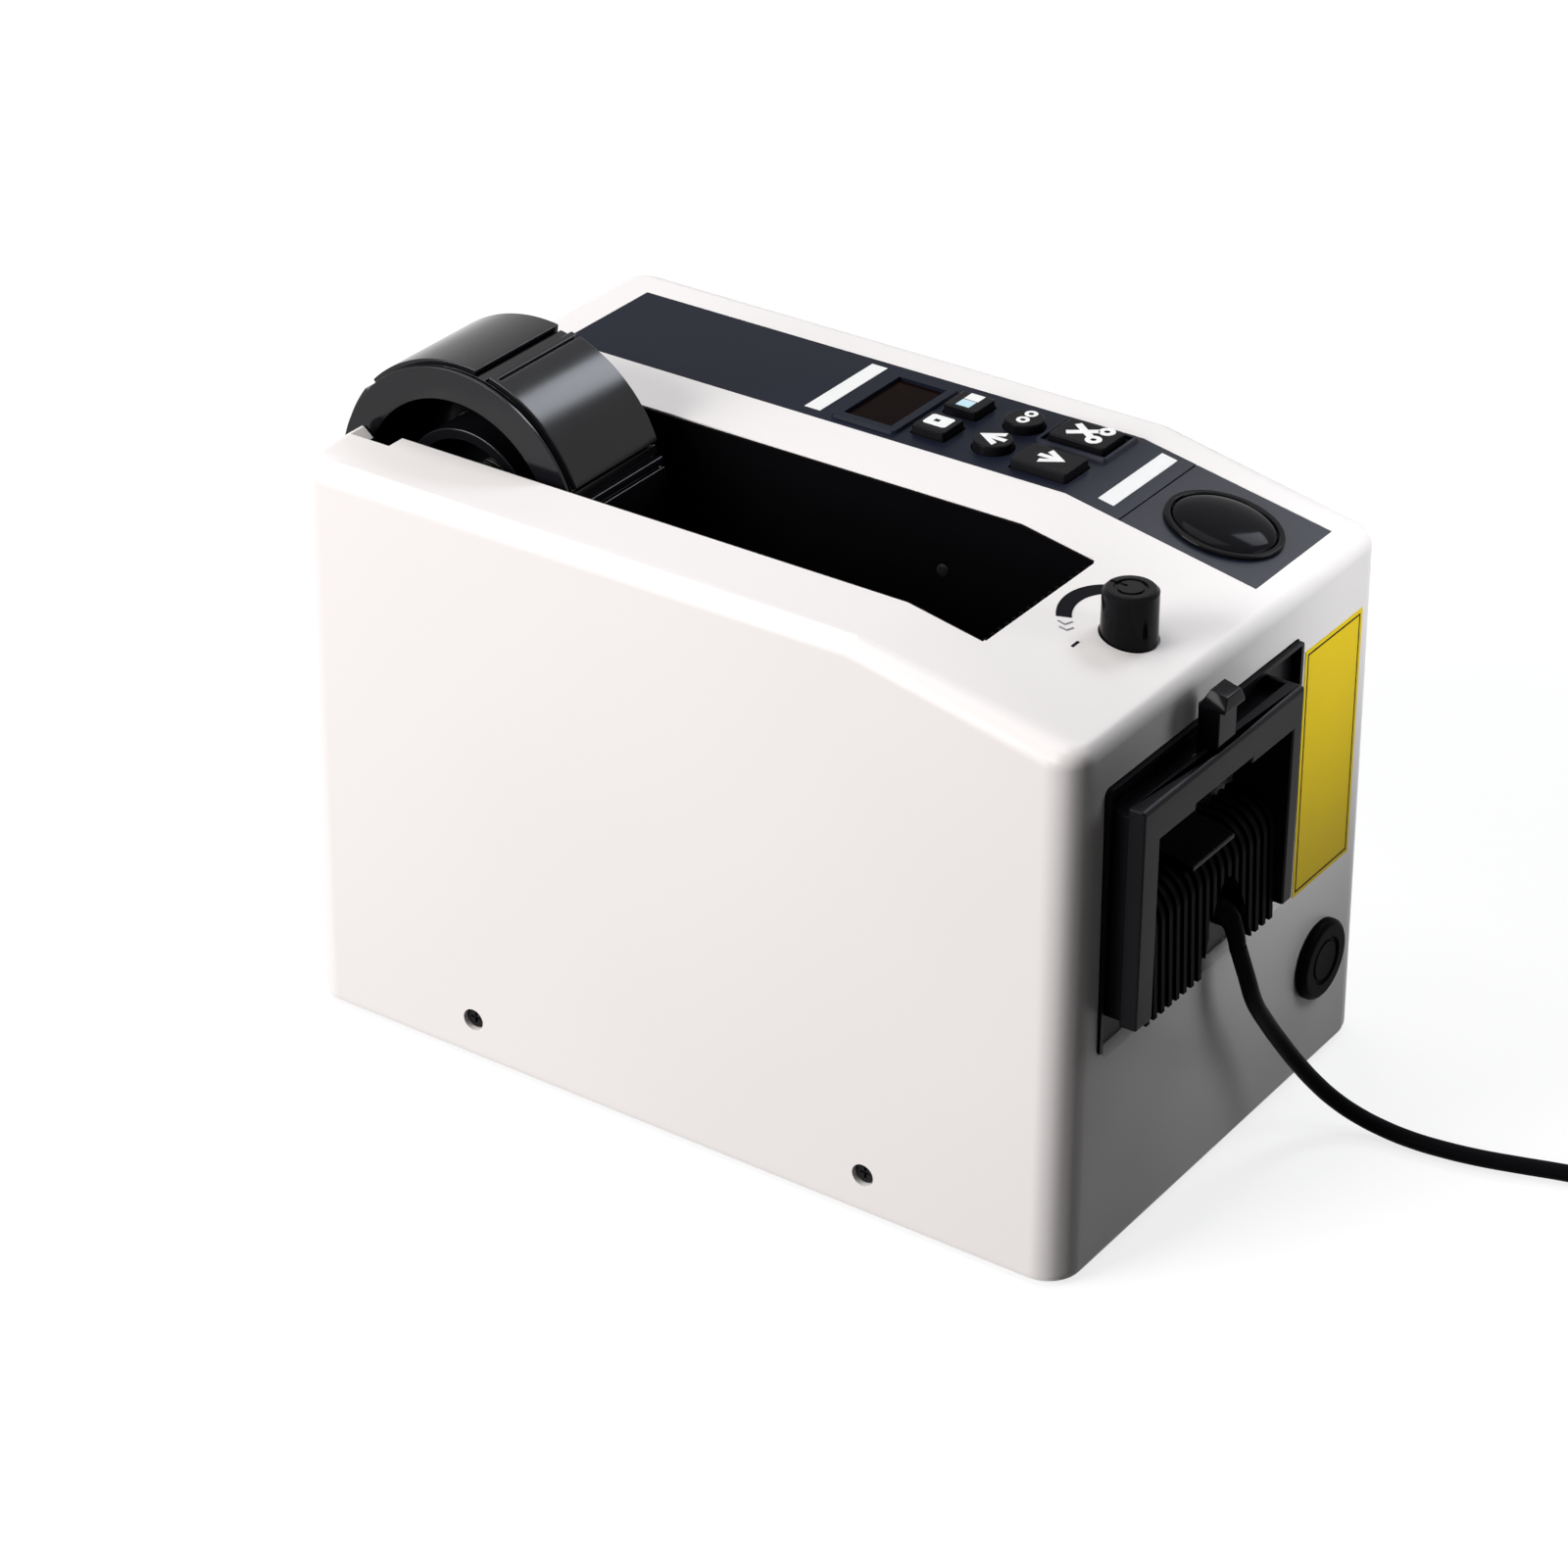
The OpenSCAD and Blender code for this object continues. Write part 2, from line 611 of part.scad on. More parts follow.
// Entry guide: a comb of ribs at the front of the bay that the tape runs in by
comb_n = 15;
guide_z = feed_z + feed_r + 12;
module entry_guide() color("black") intersection() {
    union() {
        block([slot_x0 + 1 + gap, slot_y - liner_t, guide_z], [slot_x1 - 1 - gap, slot_y - gap, z_top]);
        for (i = [0:comb_n - 1])
            translate([slot_x0 + 1.5 + i * (slot_w - 4.2) / (comb_n - 1), slot_y - cut, guide_z])
                cube([1.2, 3, 60]);
    }
    union() {
        under_roof(0.1);
        roof_slab(-hw, hw, slot_y + 0.1, hl, -60, -1.2);
    }
}

// Control panel: a plate let into the top, bent over the start of the slope
key_cut_at = [panel_x + col_large, joint_y + row_large];
key_down_at = [panel_x - col_large, joint_y + row_large];
key_preset_at = [panel_x + col_small, joint_y + row_round];
key_up_at = [panel_x - col_small, joint_y + row_round];
key_double_at = [panel_x + col_small, joint_y + row_small];
key_single_at = [panel_x - col_small, joint_y + row_small];
display_at = [panel_x + face_shift, joint_y + row_display];
board_y0 = y_bend + 1;
board_y1 = display_at.y + display_l;
posts_at = [for (x = [panel_x0 + 6, panel_x1 - 6], y = [board_y1 + 1, joint_y + (row_round + row_small) / 2])
    [x, y]];
module key_hole(at, w, l, r) {
    translate([at.x, at.y, z_top - 2 * panel_t]) linear_extrude(4 * panel_t) round_rect(w + gap, l + gap, r);
}
module raised_frame(at, w, l, t, h) {
    difference() {
        hull() for (x = [-1, 1], y = [-1, 1])
            translate([at.x + x * (w / 2 + t - 1.5), at.y + y * (l / 2 + t - 1.5), z_top - panel_t / 2])
                cylinder(r1 = 1.5 + panel_t / 4, r2 = 1.5 - h / 2, h = panel_t / 2 + h, $fn = 24);
        translate([at.x, at.y, z_top - panel_t]) linear_extrude(2 * panel_t + h) square([w, l], center = true);
    }
}
module control_panel() color("black") difference() {
    union() {
        roof_slab(panel_x0, panel_x1, joint_y + gap, panel_y1, -panel_t, 0);
        raised_frame(display_at, display_w, display_l, 2.8, 0.9);
        raised_frame(key_cut_at, key_large_w + 2, key_large_l + 2, 1.5, 1.1);
        for (p = posts_at) translate([p.x, p.y, board_top])
            cylinder(r = 1.6, h = z_top - board_top - panel_t / 2);
    }
    key_hole(key_cut_at, key_large_w, key_large_l, 1);
    key_hole(key_down_at, key_large_w, key_large_l, 1);
    key_hole(key_double_at, key_small, key_small, 1);
    key_hole(key_single_at, key_small, key_small, 1);
    for (at = [key_preset_at, key_up_at]) translate([at.x, at.y, z_top - 2 * panel_t])
        cylinder(d = key_round + gap, h = 4 * panel_t);
    translate([display_at.x, display_at.y, z_top - 2 * panel_t]) linear_extrude(4 * panel_t)
        square([display_w, display_l], center = true);
}
module display_window() color("maroon") translate([display_at.x, display_at.y, board_top])
    linear_extrude(z_top - board_top) square([display_w - 2 * fit, display_l - 2 * fit], center = true);
module main_board() color("darkgreen") {
    block([panel_x0 + ledge + 1, board_y0, board_top - board_t],
        [panel_x1 - ledge - 1, board_y1 + 6, board_top]);
    block([panel_x - 8, display_at.y - 8, board_top - board_t - 2.4],
        [panel_x + 8, display_at.y + 8, board_top - cut / 2]);
}

// Keys: tapered caps over a flange that stops under the panel
module key_flange_plate(at, w, l) {
    translate([at.x, at.y, z_top - panel_t - key_flange - fit])
        linear_extrude(key_flange) round_rect(w, l, 1);
}
module square_key(at, w, l) color("black") {
    hull() for (x = [-1, 1], y = [-1, 1])
        translate([at.x + x * (w / 2 - 1), at.y + y * (l / 2 - 1), z_top - panel_t - key_flange / 2])
            cylinder(r1 = 1, r2 = 0.5, h = panel_t + key_flange / 2 + key_rise, $fn = 16);
    key_flange_plate(at, w + 1.8, l + 1.8);
}
module round_key(at) color("black") {
    translate([at.x, at.y, z_top - panel_t - key_flange / 2])
        cylinder(d1 = key_round, d2 = key_round - 1, h = panel_t + key_flange / 2 + key_rise);
    translate([at.x, at.y, z_top - panel_t - key_flange - fit]) cylinder(d = key_round + 1.8, h = key_flange);
}
module key_single() square_key(key_single_at, key_small, key_small);
module key_double() square_key(key_double_at, key_small, key_small);
module key_preset() round_key(key_preset_at);
module key_up() round_key(key_up_at);
module key_cut() square_key(key_cut_at, key_large_w, key_large_l);
module key_down() square_key(key_down_at, key_large_w, key_large_l);

// Start button: a domed oval in a raised ring, on its own panel square to the slope
button_a = ring_a - ring_t - gap;
button_b = ring_b - ring_t - gap;
module button_panel() color("black") difference() {
    roof_slab(panel_x0, panel_x1, panel_y0, joint_y, -panel_t, 0);
    on_slope(panel_x + face_shift, button_y) translate([0, 0, -10])
        linear_extrude(20) oval(ring_a - ring_t, ring_b - ring_t);
}
module start_ring() color("black") on_slope(panel_x + face_shift, button_y) translate([0, 0, fit])
    linear_extrude(ring_rise) difference() {
        oval(ring_a, ring_b);
        oval(ring_a - ring_t, ring_b - ring_t);
    }
dome_n = 6;
button_foot = -4.5;
module start_button() color("black") on_slope(panel_x + face_shift, button_y) {
    loft(concat(
        [[for (j = [0:47]) [button_a * cos(7.5 * j), button_b * sin(7.5 * j), button_foot]]],
        [for (i = [0:dome_n]) let (t = 84 * i / dome_n)
            [for (j = [0:47]) [button_a * cos(t) * cos(7.5 * j), button_b * cos(t) * sin(7.5 * j),
                ring_rise / 2 + (button_rise - ring_rise / 2) * sin(t)]]]));
    translate([0, 0, button_foot]) linear_extrude(1) oval(button_a + 1.6, button_b + 1.6);
}

// Feed deck and frames: two side plates carry every shaft of the feed
deck_x0 = frame_x0 - 12;
deck_x1 = motor_x + motor_l - 2;
module feed_deck() color("dimgray") difference() {
    union() {
        block([deck_x0, frame_y0, deck_z], [deck_x1, frame_y1, deck_z + deck_t]);
        for (x = [deck_x0 + 13, deck_x1 - 8], y = [frame_y0 + 2, frame_y1 - 8])
            block([x, y, z_shell], [x + 5, y + 5, deck_z + cut]);
    }
    for (p = feet_at) translate([p.x, p.y, 0]) cylinder(r = foot_stem + 0.8 + gap, h = z_shell + 2 * foot_h);
}
module frame_plate(x) {
    difference() {
        along_x(x, x + frame_t) polygon([
            [frame_y0, deck_z + deck_t], [frame_y1, deck_z + deck_t], [frame_y1, frame_top],
            [feed_y - 5, frame_top], [frame_y0, press_z + 4]]);
        rod_x([x - cut, feed_y, feed_z], shaft_r + fit, frame_t + 2 * cut);
        rod_x([x - cut, pivot_y, pivot_z], pivot_r + fit, frame_t + 2 * cut);
        rod_x([x - cut, feed_y, feed_z - feed_r - 12], 7, frame_t + 2 * cut);
    }
}
module feed_frame_left() color("dimgray") frame_plate(frame_x0 - frame_t);
module feed_frame_right() color("dimgray") frame_plate(frame_x1);
module feed_shaft() color("silver")
    rod_x([frame_x0 - frame_t - 1.5, feed_y, feed_z], shaft_r,
        gear_x + gear_w + 1 - frame_x0 + frame_t + 1.5);
groove_n = 10;
module roller_profile() difference() {
    translate([shaft_r, 0]) square([feed_r - shaft_r, slot_w + 2]);
    for (i = [1:groove_n]) translate([feed_r - 0.8, i * (slot_w + 2) / (groove_n + 1) - 0.6])
        square([cut, 1.2]);
}
module feed_roller() color("darkslategray") translate([slot_x0 - 1, feed_y, feed_z]) rotate([0, 90, 0])
    rotate_extrude() roller_profile();
module feed_gear() color("white") translate([gear_x, feed_y, feed_z]) rotate([0, 90, 0]) difference() {
    linear_extrude(gear_w) gear_outline(feed_teeth);
    translate([0, 0, -cut]) cylinder(r = shaft_r, h = gear_w + 2 * cut);
    for (a = [0:60:300]) rotate(a) translate([0.27 * tooth * feed_teeth + 1, 0, -cut])
        cylinder(r = 3.6, h = gear_w + 2 * cut);
}
module feed_motor() color("silver") difference() {
    union() {
        rod_x([motor_x, feed_y, motor_z], motor_r, motor_l);
        rod_x([motor_x + motor_l - cut, feed_y, motor_z], 4, 3);
        block([motor_x + 4, feed_y - motor_r, deck_z + deck_t],
            [motor_x + motor_l - 6, feed_y + motor_r, motor_z]);
    }
    rod_x([motor_x - cut, feed_y, motor_z], 1.5 + fit, 10);
}
module motor_pinion() color("goldenrod") translate([gear_x, feed_y, motor_z]) rotate([0, 90, 0]) {
    linear_extrude(gear_w) rotate(pinion_teeth % 2 == 0 ? 180 / pinion_teeth : 0) gear_outline(pinion_teeth);
    cylinder(r = 1.5, h = gear_w + 8);
}

// Pressing roller on a sprung arm, loaded by the screw under the knob
arm_x0 = frame_x0 + gap;
arm_x1 = frame_x1 - gap;
bar_z = press_z + press_r + 5;
module arm_outline() {
    difference() {
        union() {
            translate([pivot_y, pivot_z]) circle(4);
            translate([feed_y, press_z]) circle(3.6);
            polygon([[pivot_y + 1, pivot_z - 3.8], [pivot_y - 1, pivot_z + 3.8], [knob_y - 3, bar_z + 2.5],
                [knob_y - 3, bar_z], [feed_y - 3.4, press_z + 1], [feed_y + 2, press_z - 3]]);
        }
        translate([pivot_y, pivot_z]) circle(pivot_r + fit);
        translate([feed_y, press_z]) circle(1.5 + fit);
    }
}
module press_arm() color("silver") {
    along_x(arm_x0, arm_x0 + arm_t) arm_outline();
    along_x(arm_x1 - arm_t, arm_x1) arm_outline();
    block([arm_x0 + cut, knob_y - 2.5, bar_z + 0.2], [arm_x1 - cut, knob_y + 6, bar_z + 2]);
}
module press_pin() color("silver")
    rod_x([frame_x0 - frame_t - 1, pivot_y, pivot_z], pivot_r, frame_x1 - frame_x0 + 2 * frame_t + 2);
module press_roller() color("white") {
    rod_x([arm_x0 + arm_t + gap, feed_y, press_z], press_r, arm_x1 - arm_x0 - 2 * arm_t - 2 * gap);
    rod_x([arm_x0 + 0.2, feed_y, press_z], 1.5, arm_x1 - arm_x0 - 0.4);
}

// Pressure knob with its screw and spring
mark_l = 5;
knob_top = top_z(knob_y) + knob_h - well_z - gap;
module pressure_knob() color("black") translate([knob_x, knob_y, well_z + gap]) difference() {
    rotate_extrude() polygon([
        [0, 0], [knob_r - 0.4, 0], [knob_r, 0.4], [knob_r - 0.1, knob_top - 1],
        [knob_r - 1, knob_top - 0.1], [knob_r - 1.8, knob_top], [0, knob_top]]);
    translate([0, 0, knob_top - 0.5]) difference() {
        cylinder(r = knob_r - 2.8, h = cut);
        cylinder(r = knob_r - 3.8, h = cut);
    }
    translate([-0.5, 1, knob_top - 0.5]) cube([1, mark_l, cut]);
    translate([0, 0, -cut]) cylinder(r = screw_r, h = 6 + cut);
}
spring_l = 8;
spring_r = 3.4;
spring_wire = 0.5;
cap_z = bar_z + 2 + spring_l + 0.2;
module pressure_screw() color("silver") {
    translate([knob_x, knob_y, cap_z + cut]) cylinder(r = screw_r, h = well_z + gap + 6 - cap_z - cut);
    translate([knob_x, knob_y, cap_z]) cylinder(r = spring_r + 1.2, h = 1.6);
}
spring_turns = 5;
module press_spring() color("silver") {
    n = spring_turns * 8;
    loft([for (i = [0:n]) let (
            a = 45 * i,
            p = [knob_x + spring_r * cos(a), knob_y + spring_r * sin(a),
                bar_z + 2 + spring_wire + 0.1 + (spring_l - 2 * spring_wire) * i / n])
        tube_ring(p, unit([-sin(a), cos(a), 0.08]), [cos(a), sin(a), 0], spring_wire, 6)]);
}

// Cutter: a toothed blade on a carriage that a pinion drives down past a fixed edge
blade_t = 1;
blade_pitch = 3;
rack_n = 6;
carriage_top = frame_top - 4;
blade_z = feed_z + feed_r + 4;
blade_y = cut_y + carriage_t;
module fixed_blade() color("silver")
    block([frame_x0, blade_y + blade_t + 0.15, feed_z + feed_r - 9],
        [frame_x1, blade_y + 2 * blade_t + 0.15, feed_z + feed_r - 1.5]);
module blade_carriage() color("dimgray") {
    block([cut_x + 2, cut_y, blade_z + 5], [frame_x1 + frame_t, cut_y + carriage_t, carriage_top]);
    block([cut_x, cut_y, cut_z - 8], [frame_x0 - frame_t - 0.2, cut_y + carriage_t, carriage_top]);
    for (i = [-1:rack_n - 1])
        translate([cut_x, cut_y + carriage_t, cut_z + i * PI * tooth]) rotate([90, 0, 0])
            linear_extrude(carriage_t) polygon([
                [0.5, -0.95 * tooth], [0, -0.95 * tooth], [-1.9 * tooth, -0.3 * tooth],
                [-1.9 * tooth, 0.3 * tooth], [0, 0.95 * tooth], [0.5, 0.95 * tooth]]);
}
module blade_outline() {
    translate([slot_x0, blade_z + 2]) square([slot_w, 12]);
    for (x = [slot_x0:blade_pitch:slot_x1 - blade_pitch]) polygon([
        [x, blade_z + 2 + cut], [x, blade_z + 2], [x + blade_pitch / 2, blade_z],
        [x + blade_pitch, blade_z + 2], [x + blade_pitch, blade_z + 2 + cut]]);
}
module moving_blade() color("silver") translate([0, blade_y + blade_t, 0]) rotate([90, 0, 0])
    linear_extrude(blade_t) blade_outline();
cutter_x = cut_x - tooth - cut_pitch - 0.1;
module cutter_pinion() color("goldenrod") translate([cutter_x, cut_y, cut_z]) rotate([-90, 0, 0]) {
    linear_extrude(carriage_t) rotate(180 / pinion_teeth) gear_outline(pinion_teeth);
    cylinder(r = 1, h = carriage_t + 6);
}
cutter_r = 5;
cutter_l = 30;
cutter_y = cut_y + carriage_t + 1;
module cutter_motor() color("silver") difference() {
    union() {
        rod_y([cutter_x, cutter_y, cut_z], cutter_r, cutter_l);
        block([cutter_x - cutter_r, cutter_y + cutter_l / 10, deck_z + deck_t],
            [cutter_x + cutter_r, cutter_y + cutter_l * 0.64, cut_z]);
    }
    rod_y([cutter_x, cut_y, cut_z], 1 + fit, 12);
}

// Outlet: a back plate behind the front wall with a lining round the opening, a hood that frames the window and a ribbed chute below it
lining_t = 1.2;
module outlet_plate() color("black") difference() {
    union() {
        block([opening_x0 - 2.5, flange_y, opening_z - 2.5],
            [opening_x1 + 2.5, plate_back, opening_top + 2.5]);
        translate([(opening_x0 + opening_x1) / 2, plate_y, opening_z + opening_h / 2]) rotate([-90, 0, 0])
            linear_extrude(flange_y - plate_y + cut)
                round_rect(opening_w - 2 * gap, opening_h - 2 * gap, 2 - gap);
        translate([(opening_x0 + opening_x1) / 2, -hl - 0.2, opening_z + opening_h / 2]) rotate([-90, 0, 0])
            linear_extrude(plate_y + hl + 0.2 + cut) difference() {
                round_rect(opening_w - 2 * gap, opening_h - 2 * gap, 2 - gap);
                translate([0, opening_h / 4]) square([opening_w - 2 * gap - 2 * lining_t,
                    1.5 * opening_h - 2 * gap - 2 * lining_t], center = true);
            }
    }
    block([window_x0, plate_y - cut, chute_top - shelf_t - gap], [window_x1, plate_back + cut, window_top]);
}
brow = 1.6;
hood_step = 3.5;
module outlet_hood() color("black") difference() {
    along_x(hood_x0, hood_x1) polygon([
        [plate_y, hood_z], [hood_y, hood_z], [hood_y, hood_top - 0.8], [hood_y + 0.8, hood_top],
        [plate_y, hood_top]]);
    block([window_x0, hood_y - cut, opening_z - cut], [window_x1, plate_y + cut, window_top]);
    block([tape_x - 13, hood_y - cut, window_top - cut], [tape_x + 13, hood_y + 3, window_top + brow]);
    block([hood_x0 - cut, hood_y + hood_rim, hood_top - hood_step], [hood_x1 - 1.6, plate_y + cut, hood_top + cut]);
    block([hood_x0 - cut, hood_y + hood_rim, hood_z - cut], [hood_x0 + 2, plate_y + cut, hood_top + cut]);
    block([latch_x - latch_w / 2 - gap / 2, latch_y - latch_d / 2 - gap / 2, window_top - 2 * cut],
        [latch_x + latch_w / 2 + gap / 2, latch_y + latch_d / 2 + gap / 2, hood_top + cut]);
}
module chute_outline(rise) {
    intersection() {
        union() {
            translate([plate_y, chute_top - chute_out]) circle(chute_out + rise);
            polygon([
                [plate_y - chute_out - rise, chute_top - chute_out],
                [plate_y - chute_out - rise - 1, chute_z], [plate_y, chute_z],
                [plate_y, chute_top - chute_out]]);
            translate([plate_y, chute_top - shelf_t]) square([shelf_l, shelf_t + rise]);
        }
        union() {
            translate([plate_y - 20, chute_z]) square([20, 60]);
            translate([plate_y - cut, chute_top - shelf_t]) square([cut + shelf_l, 20]);
        }
    }
}
arch_n = 12;
module arch_outline() {
    function side(i) = arch_w / 2 * (i / arch_n);
    function rise(i) = arch_top - (arch_top - chute_z) * pow(i / arch_n, 2);
    polygon(concat(
        [for (i = [-arch_n:arch_n]) [arch_x + side(i), rise(i)]],
        [[arch_x + arch_w / 2, chute_z - cut], [arch_x - arch_w / 2, chute_z - cut]]));
}
module outlet_chute() color("black") difference() {
    union() {
        along_x(window_x0 + fit, window_x1 - fit) chute_outline(0);
        for (i = [0:rib_n - 1]) {
            x = window_x0 + 1 + i * (window_w - 2 - rib_w) / (rib_n - 1);
            along_x(x, x + rib_w) chute_outline(rib_rise);
        }
    }
    translate([0, plate_y + cut, 0]) rotate([90, 0, 0]) linear_extrude(20 + cut) arch_outline();
}
tongue_x0 = tape_x - 7.5;
tongue_x1 = tape_x + 12;
module outlet_tongue() color("black") along_x(tongue_x0, tongue_x1) polygon([
    [cut_y - 1, chute_top + 2.9], [plate_back - 0.3, chute_top + rib_rise + 0.1],
    [plate_y + 1, chute_top + rib_rise + 0.1], [plate_y + 0.2, chute_top + rib_rise + 0.7],
    [hood_y + 3, chute_top - 0.3], [hood_y + 3, chute_top + 0.9], [cut_y - 1, chute_top + 3.9]]);
cap_w = 9.4;
cap_crown = 6.4;
cap_l = 6.6;
cap_low = hood_top + 10;
cap_high = cap_low + 5;
module release_latch() color("black") {
    block([latch_x - latch_w / 2, latch_y - latch_d / 2, window_top + brow + 3.5],
        [latch_x + latch_w / 2, latch_y + latch_d / 2, cap_low + cut]);
    hull() {
        block([latch_x - cap_w / 2, hood_y - 0.4, cap_low],
            [latch_x + cap_w / 2, hood_y + cap_l, cap_low + 1]);
        along_x(latch_x - cap_crown / 2, latch_x + cap_crown / 2) polygon([
            [hood_y, cap_high - 2.2], [hood_y + 4.6, cap_high - 1], [hood_y + 4.6, cap_high],
            [hood_y, cap_high - 1.2]]);
    }
}

// Blanking plug: a round cap pressed into a hole low in the front wall
plug_x = panel_x + 8.1;
plug_z = 33;
plug_stem_r = 8;
plug_t = 2.8;
plug_edge = 1.6;
plug_ring = 6.6;
module plug_profile() {
    polygon(concat(
        [[0, -3 * wall], [plug_stem_r - 0.6, -3 * wall], [plug_stem_r, -3 * wall + 1], [plug_stem_r, -0.1]],
        [[plug_d / 2, -0.1]],
        [for (a = [0:15:90])
            [plug_d / 2 - plug_edge + plug_edge * cos(a), plug_t - plug_edge + plug_edge * sin(a)]],
        [[plug_ring, plug_t], [plug_ring, plug_t - 0.7], [plug_ring - 1.2, plug_t - 0.7]],
        [[plug_ring - 1.2, plug_t - 0.2], [0, plug_t - 0.4]]));
}
module blanking_plug() color("black") translate([plug_x, -hl, plug_z]) rotate([90, 0, 0])
    rotate_extrude() plug_profile();

// Power supply and switch at the rear
switch_x = panel_x + 5;
switch_z = 34;
switch_w = 13;
switch_h = 19.4;
core = [42, 32, 40];
winding = [30, 44, 28];
strap = [56, 16, 2];
transformer_at = [panel_x - 5.5, core.y / 2 + 6, z_shell];
module transformer() color("peru") translate(transformer_at) {
    translate([-core.x / 2, -core.y / 2, 0]) cube(core);
    translate([-winding.x / 2, -winding.y / 2, (core.z - winding.z) / 2]) cube(winding);
    translate([-strap.x / 2, -strap.y / 2, 0]) cube(strap);
}
switch_face = hl - draft * switch_z / body_h;
module switch_bezel() color("black") difference() {
    union() {
        block([switch_x - switch_w / 2 - 1.5, switch_face + 0.2, switch_z - switch_h / 2 - 1.5],
            [switch_x + switch_w / 2 + 1.5, switch_face + 1.8, switch_z + switch_h / 2 + 1.5]);
        block([switch_x - switch_w / 2 + fit, switch_face - 15, switch_z - switch_h / 2 + fit],
            [switch_x + switch_w / 2 - fit, switch_face + cut, switch_z + switch_h / 2 - fit]);
    }
    block([switch_x - switch_w / 2 + 1.5, switch_face - 5.5, switch_z - switch_h / 2 + 1.5],
        [switch_x + switch_w / 2 - 1.5, switch_face + 5, switch_z + switch_h / 2 - 1.5]);
}
rocker_h = switch_h - 4.6;
rocker_w = switch_w - 3.6;
module switch_rocker() color("black") along_x(switch_x - rocker_w / 2, switch_x + rocker_w / 2) polygon([
    [switch_face - 3.2, switch_z - rocker_h / 2 + 1.2], [switch_face + 1.4, switch_z - rocker_h / 2],
    [switch_face + 2, switch_z - rocker_h / 2 + 0.4], [switch_face + 0.9, switch_z],
    [switch_face + 3.2, switch_z + rocker_h / 2 - 0.6], [switch_face + 2.8, switch_z + rocker_h / 2 - 0.2],
    [switch_face - 3.2, switch_z + rocker_h / 2 - 1.6], [switch_face - 4.6, switch_z]]);

// Mains lead: a tapered gland in the arch, the free stretch, a two-layer coil, its tie and the plug
gland_n = 12;
module cord_gland() color("black") {
    body = concat(
        [for (s = [[0, 4.1], [2.5, 4.2], [5, 3.9], [7.5, 3.9], [8.5, 3.5], [11, 3.5], [12, 3.2], [15, 3.1]])
            [gland_top + gland_axis * s[0], s[1]]],
        [[gland_end, cord_d / 2 + 0.5]]);
    intersection() {
        loft([for (s = body) tube_ring(s[0], gland_axis, [1, 0, 0], s[1], gland_n)]);
        translate([-hw, plate_y - hl, 0]) cube([body_w, hl, body_h]);
    }
}
module power_cord() color("black") loft(tube_rings(cord_route, cord_d / 2, [1, 0, 0], 8));

coil_flip = coil_turns + 0.125;
coil_base = coil_lift + cord_d / 2;
function coil_r(t) = coil_out - coil_step * (coil_flip - abs(t - coil_flip));
function coil_z(t) = coil_base + coil_rise * min(1, max(0, 2 * (t - coil_flip) + 0.5));
coil_path = concat(
    [[coil_c.x + coil_out, coil_c.y + 6, coil_base]],
    [for (i = [0:48 * coil_flip]) let (t = i / 24)
        [coil_c.x + coil_r(t) * cos(-360 * t), coil_c.y + coil_r(t) * sin(-360 * t), coil_z(t)]],
    [for (x = [7, 12, 16]) [coil_c.x - x, coil_c.y - coil_out, plug_h / 2 + (x < 10 ? 0.4 : 0)]]);
coil_gap = min([for (i = [0:len(coil_path) - 1], j = [0:len(coil_path) - 1])
    if (j > i + 8) norm(coil_path[i] - coil_path[j])]) - cord_d;
echo(least_coil_gap = coil_gap);
module cord_coil() color("black") loft(tube_rings(coil_path, cord_d / 2, [0, 0, 1], 6));
tie_w = 6;
tie_t = 0.7;
module coil_tie() color("black") {
    r0 = coil_out - coil_step * coil_turns - cord_d / 2 - 0.5;
    r1 = coil_out - coil_step / 2 + cord_d / 2 + 0.5;
    top = coil_lift + cord_d + coil_rise + 0.3;
    difference() {
        block([coil_c.x - r1 - tie_t, coil_c.y - tie_w / 2, 0],
            [coil_c.x - r0 + tie_t, coil_c.y + tie_w / 2, top + tie_t]);
        block([coil_c.x - r1, coil_c.y - tie_w, tie_t], [coil_c.x - r0, coil_c.y + tie_w, top]);
    }
}
blade_at = 6.35;
module mains_plug() color("black")
    translate([coil_c.x - 16, coil_c.y - coil_out, plug_h / 2]) rotate([0, -90, 0]) {
    cylinder(r1 = cord_d / 2 + 0.6, r2 = 5, h = 14);
    translate([0, 0, 13]) linear_extrude(plug_l - 13) round_rect(plug_h, plug_w, 5);
    for (y = [-1, 1]) translate([-3.1, y * blade_at - 0.75, plug_l - cut]) cube([6.2, 1.5, 17 + cut]);
}

housing();
base_plate();
rubber_feet();
case_screws();
bay_liner();
cradle_left();
cradle_right();
reel_axle();
reel_drum();
reel_hub();
reel_grips();
entry_guide();
control_panel();
button_panel();
start_ring();
start_button();
display_window();
main_board();
key_single();
key_double();
key_preset();
key_up();
key_cut();
key_down();
feed_deck();
feed_frame_left();
feed_frame_right();
feed_shaft();
feed_roller();
feed_gear();
feed_motor();
motor_pinion();
press_arm();
press_pin();
press_roller();
press_spring();
pressure_knob();
pressure_screw();
fixed_blade();
blade_carriage();
moving_blade();
cutter_pinion();
cutter_motor();
outlet_plate();
outlet_hood();
outlet_chute();
outlet_tongue();
release_latch();
blanking_plug();
transformer();
switch_bezel();
switch_rocker();
cord_gland();
power_cord();
cord_coil();
coil_tie();
mains_plug();
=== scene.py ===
import json
import math

import bmesh
import bpy
from mathutils import Matrix, Vector


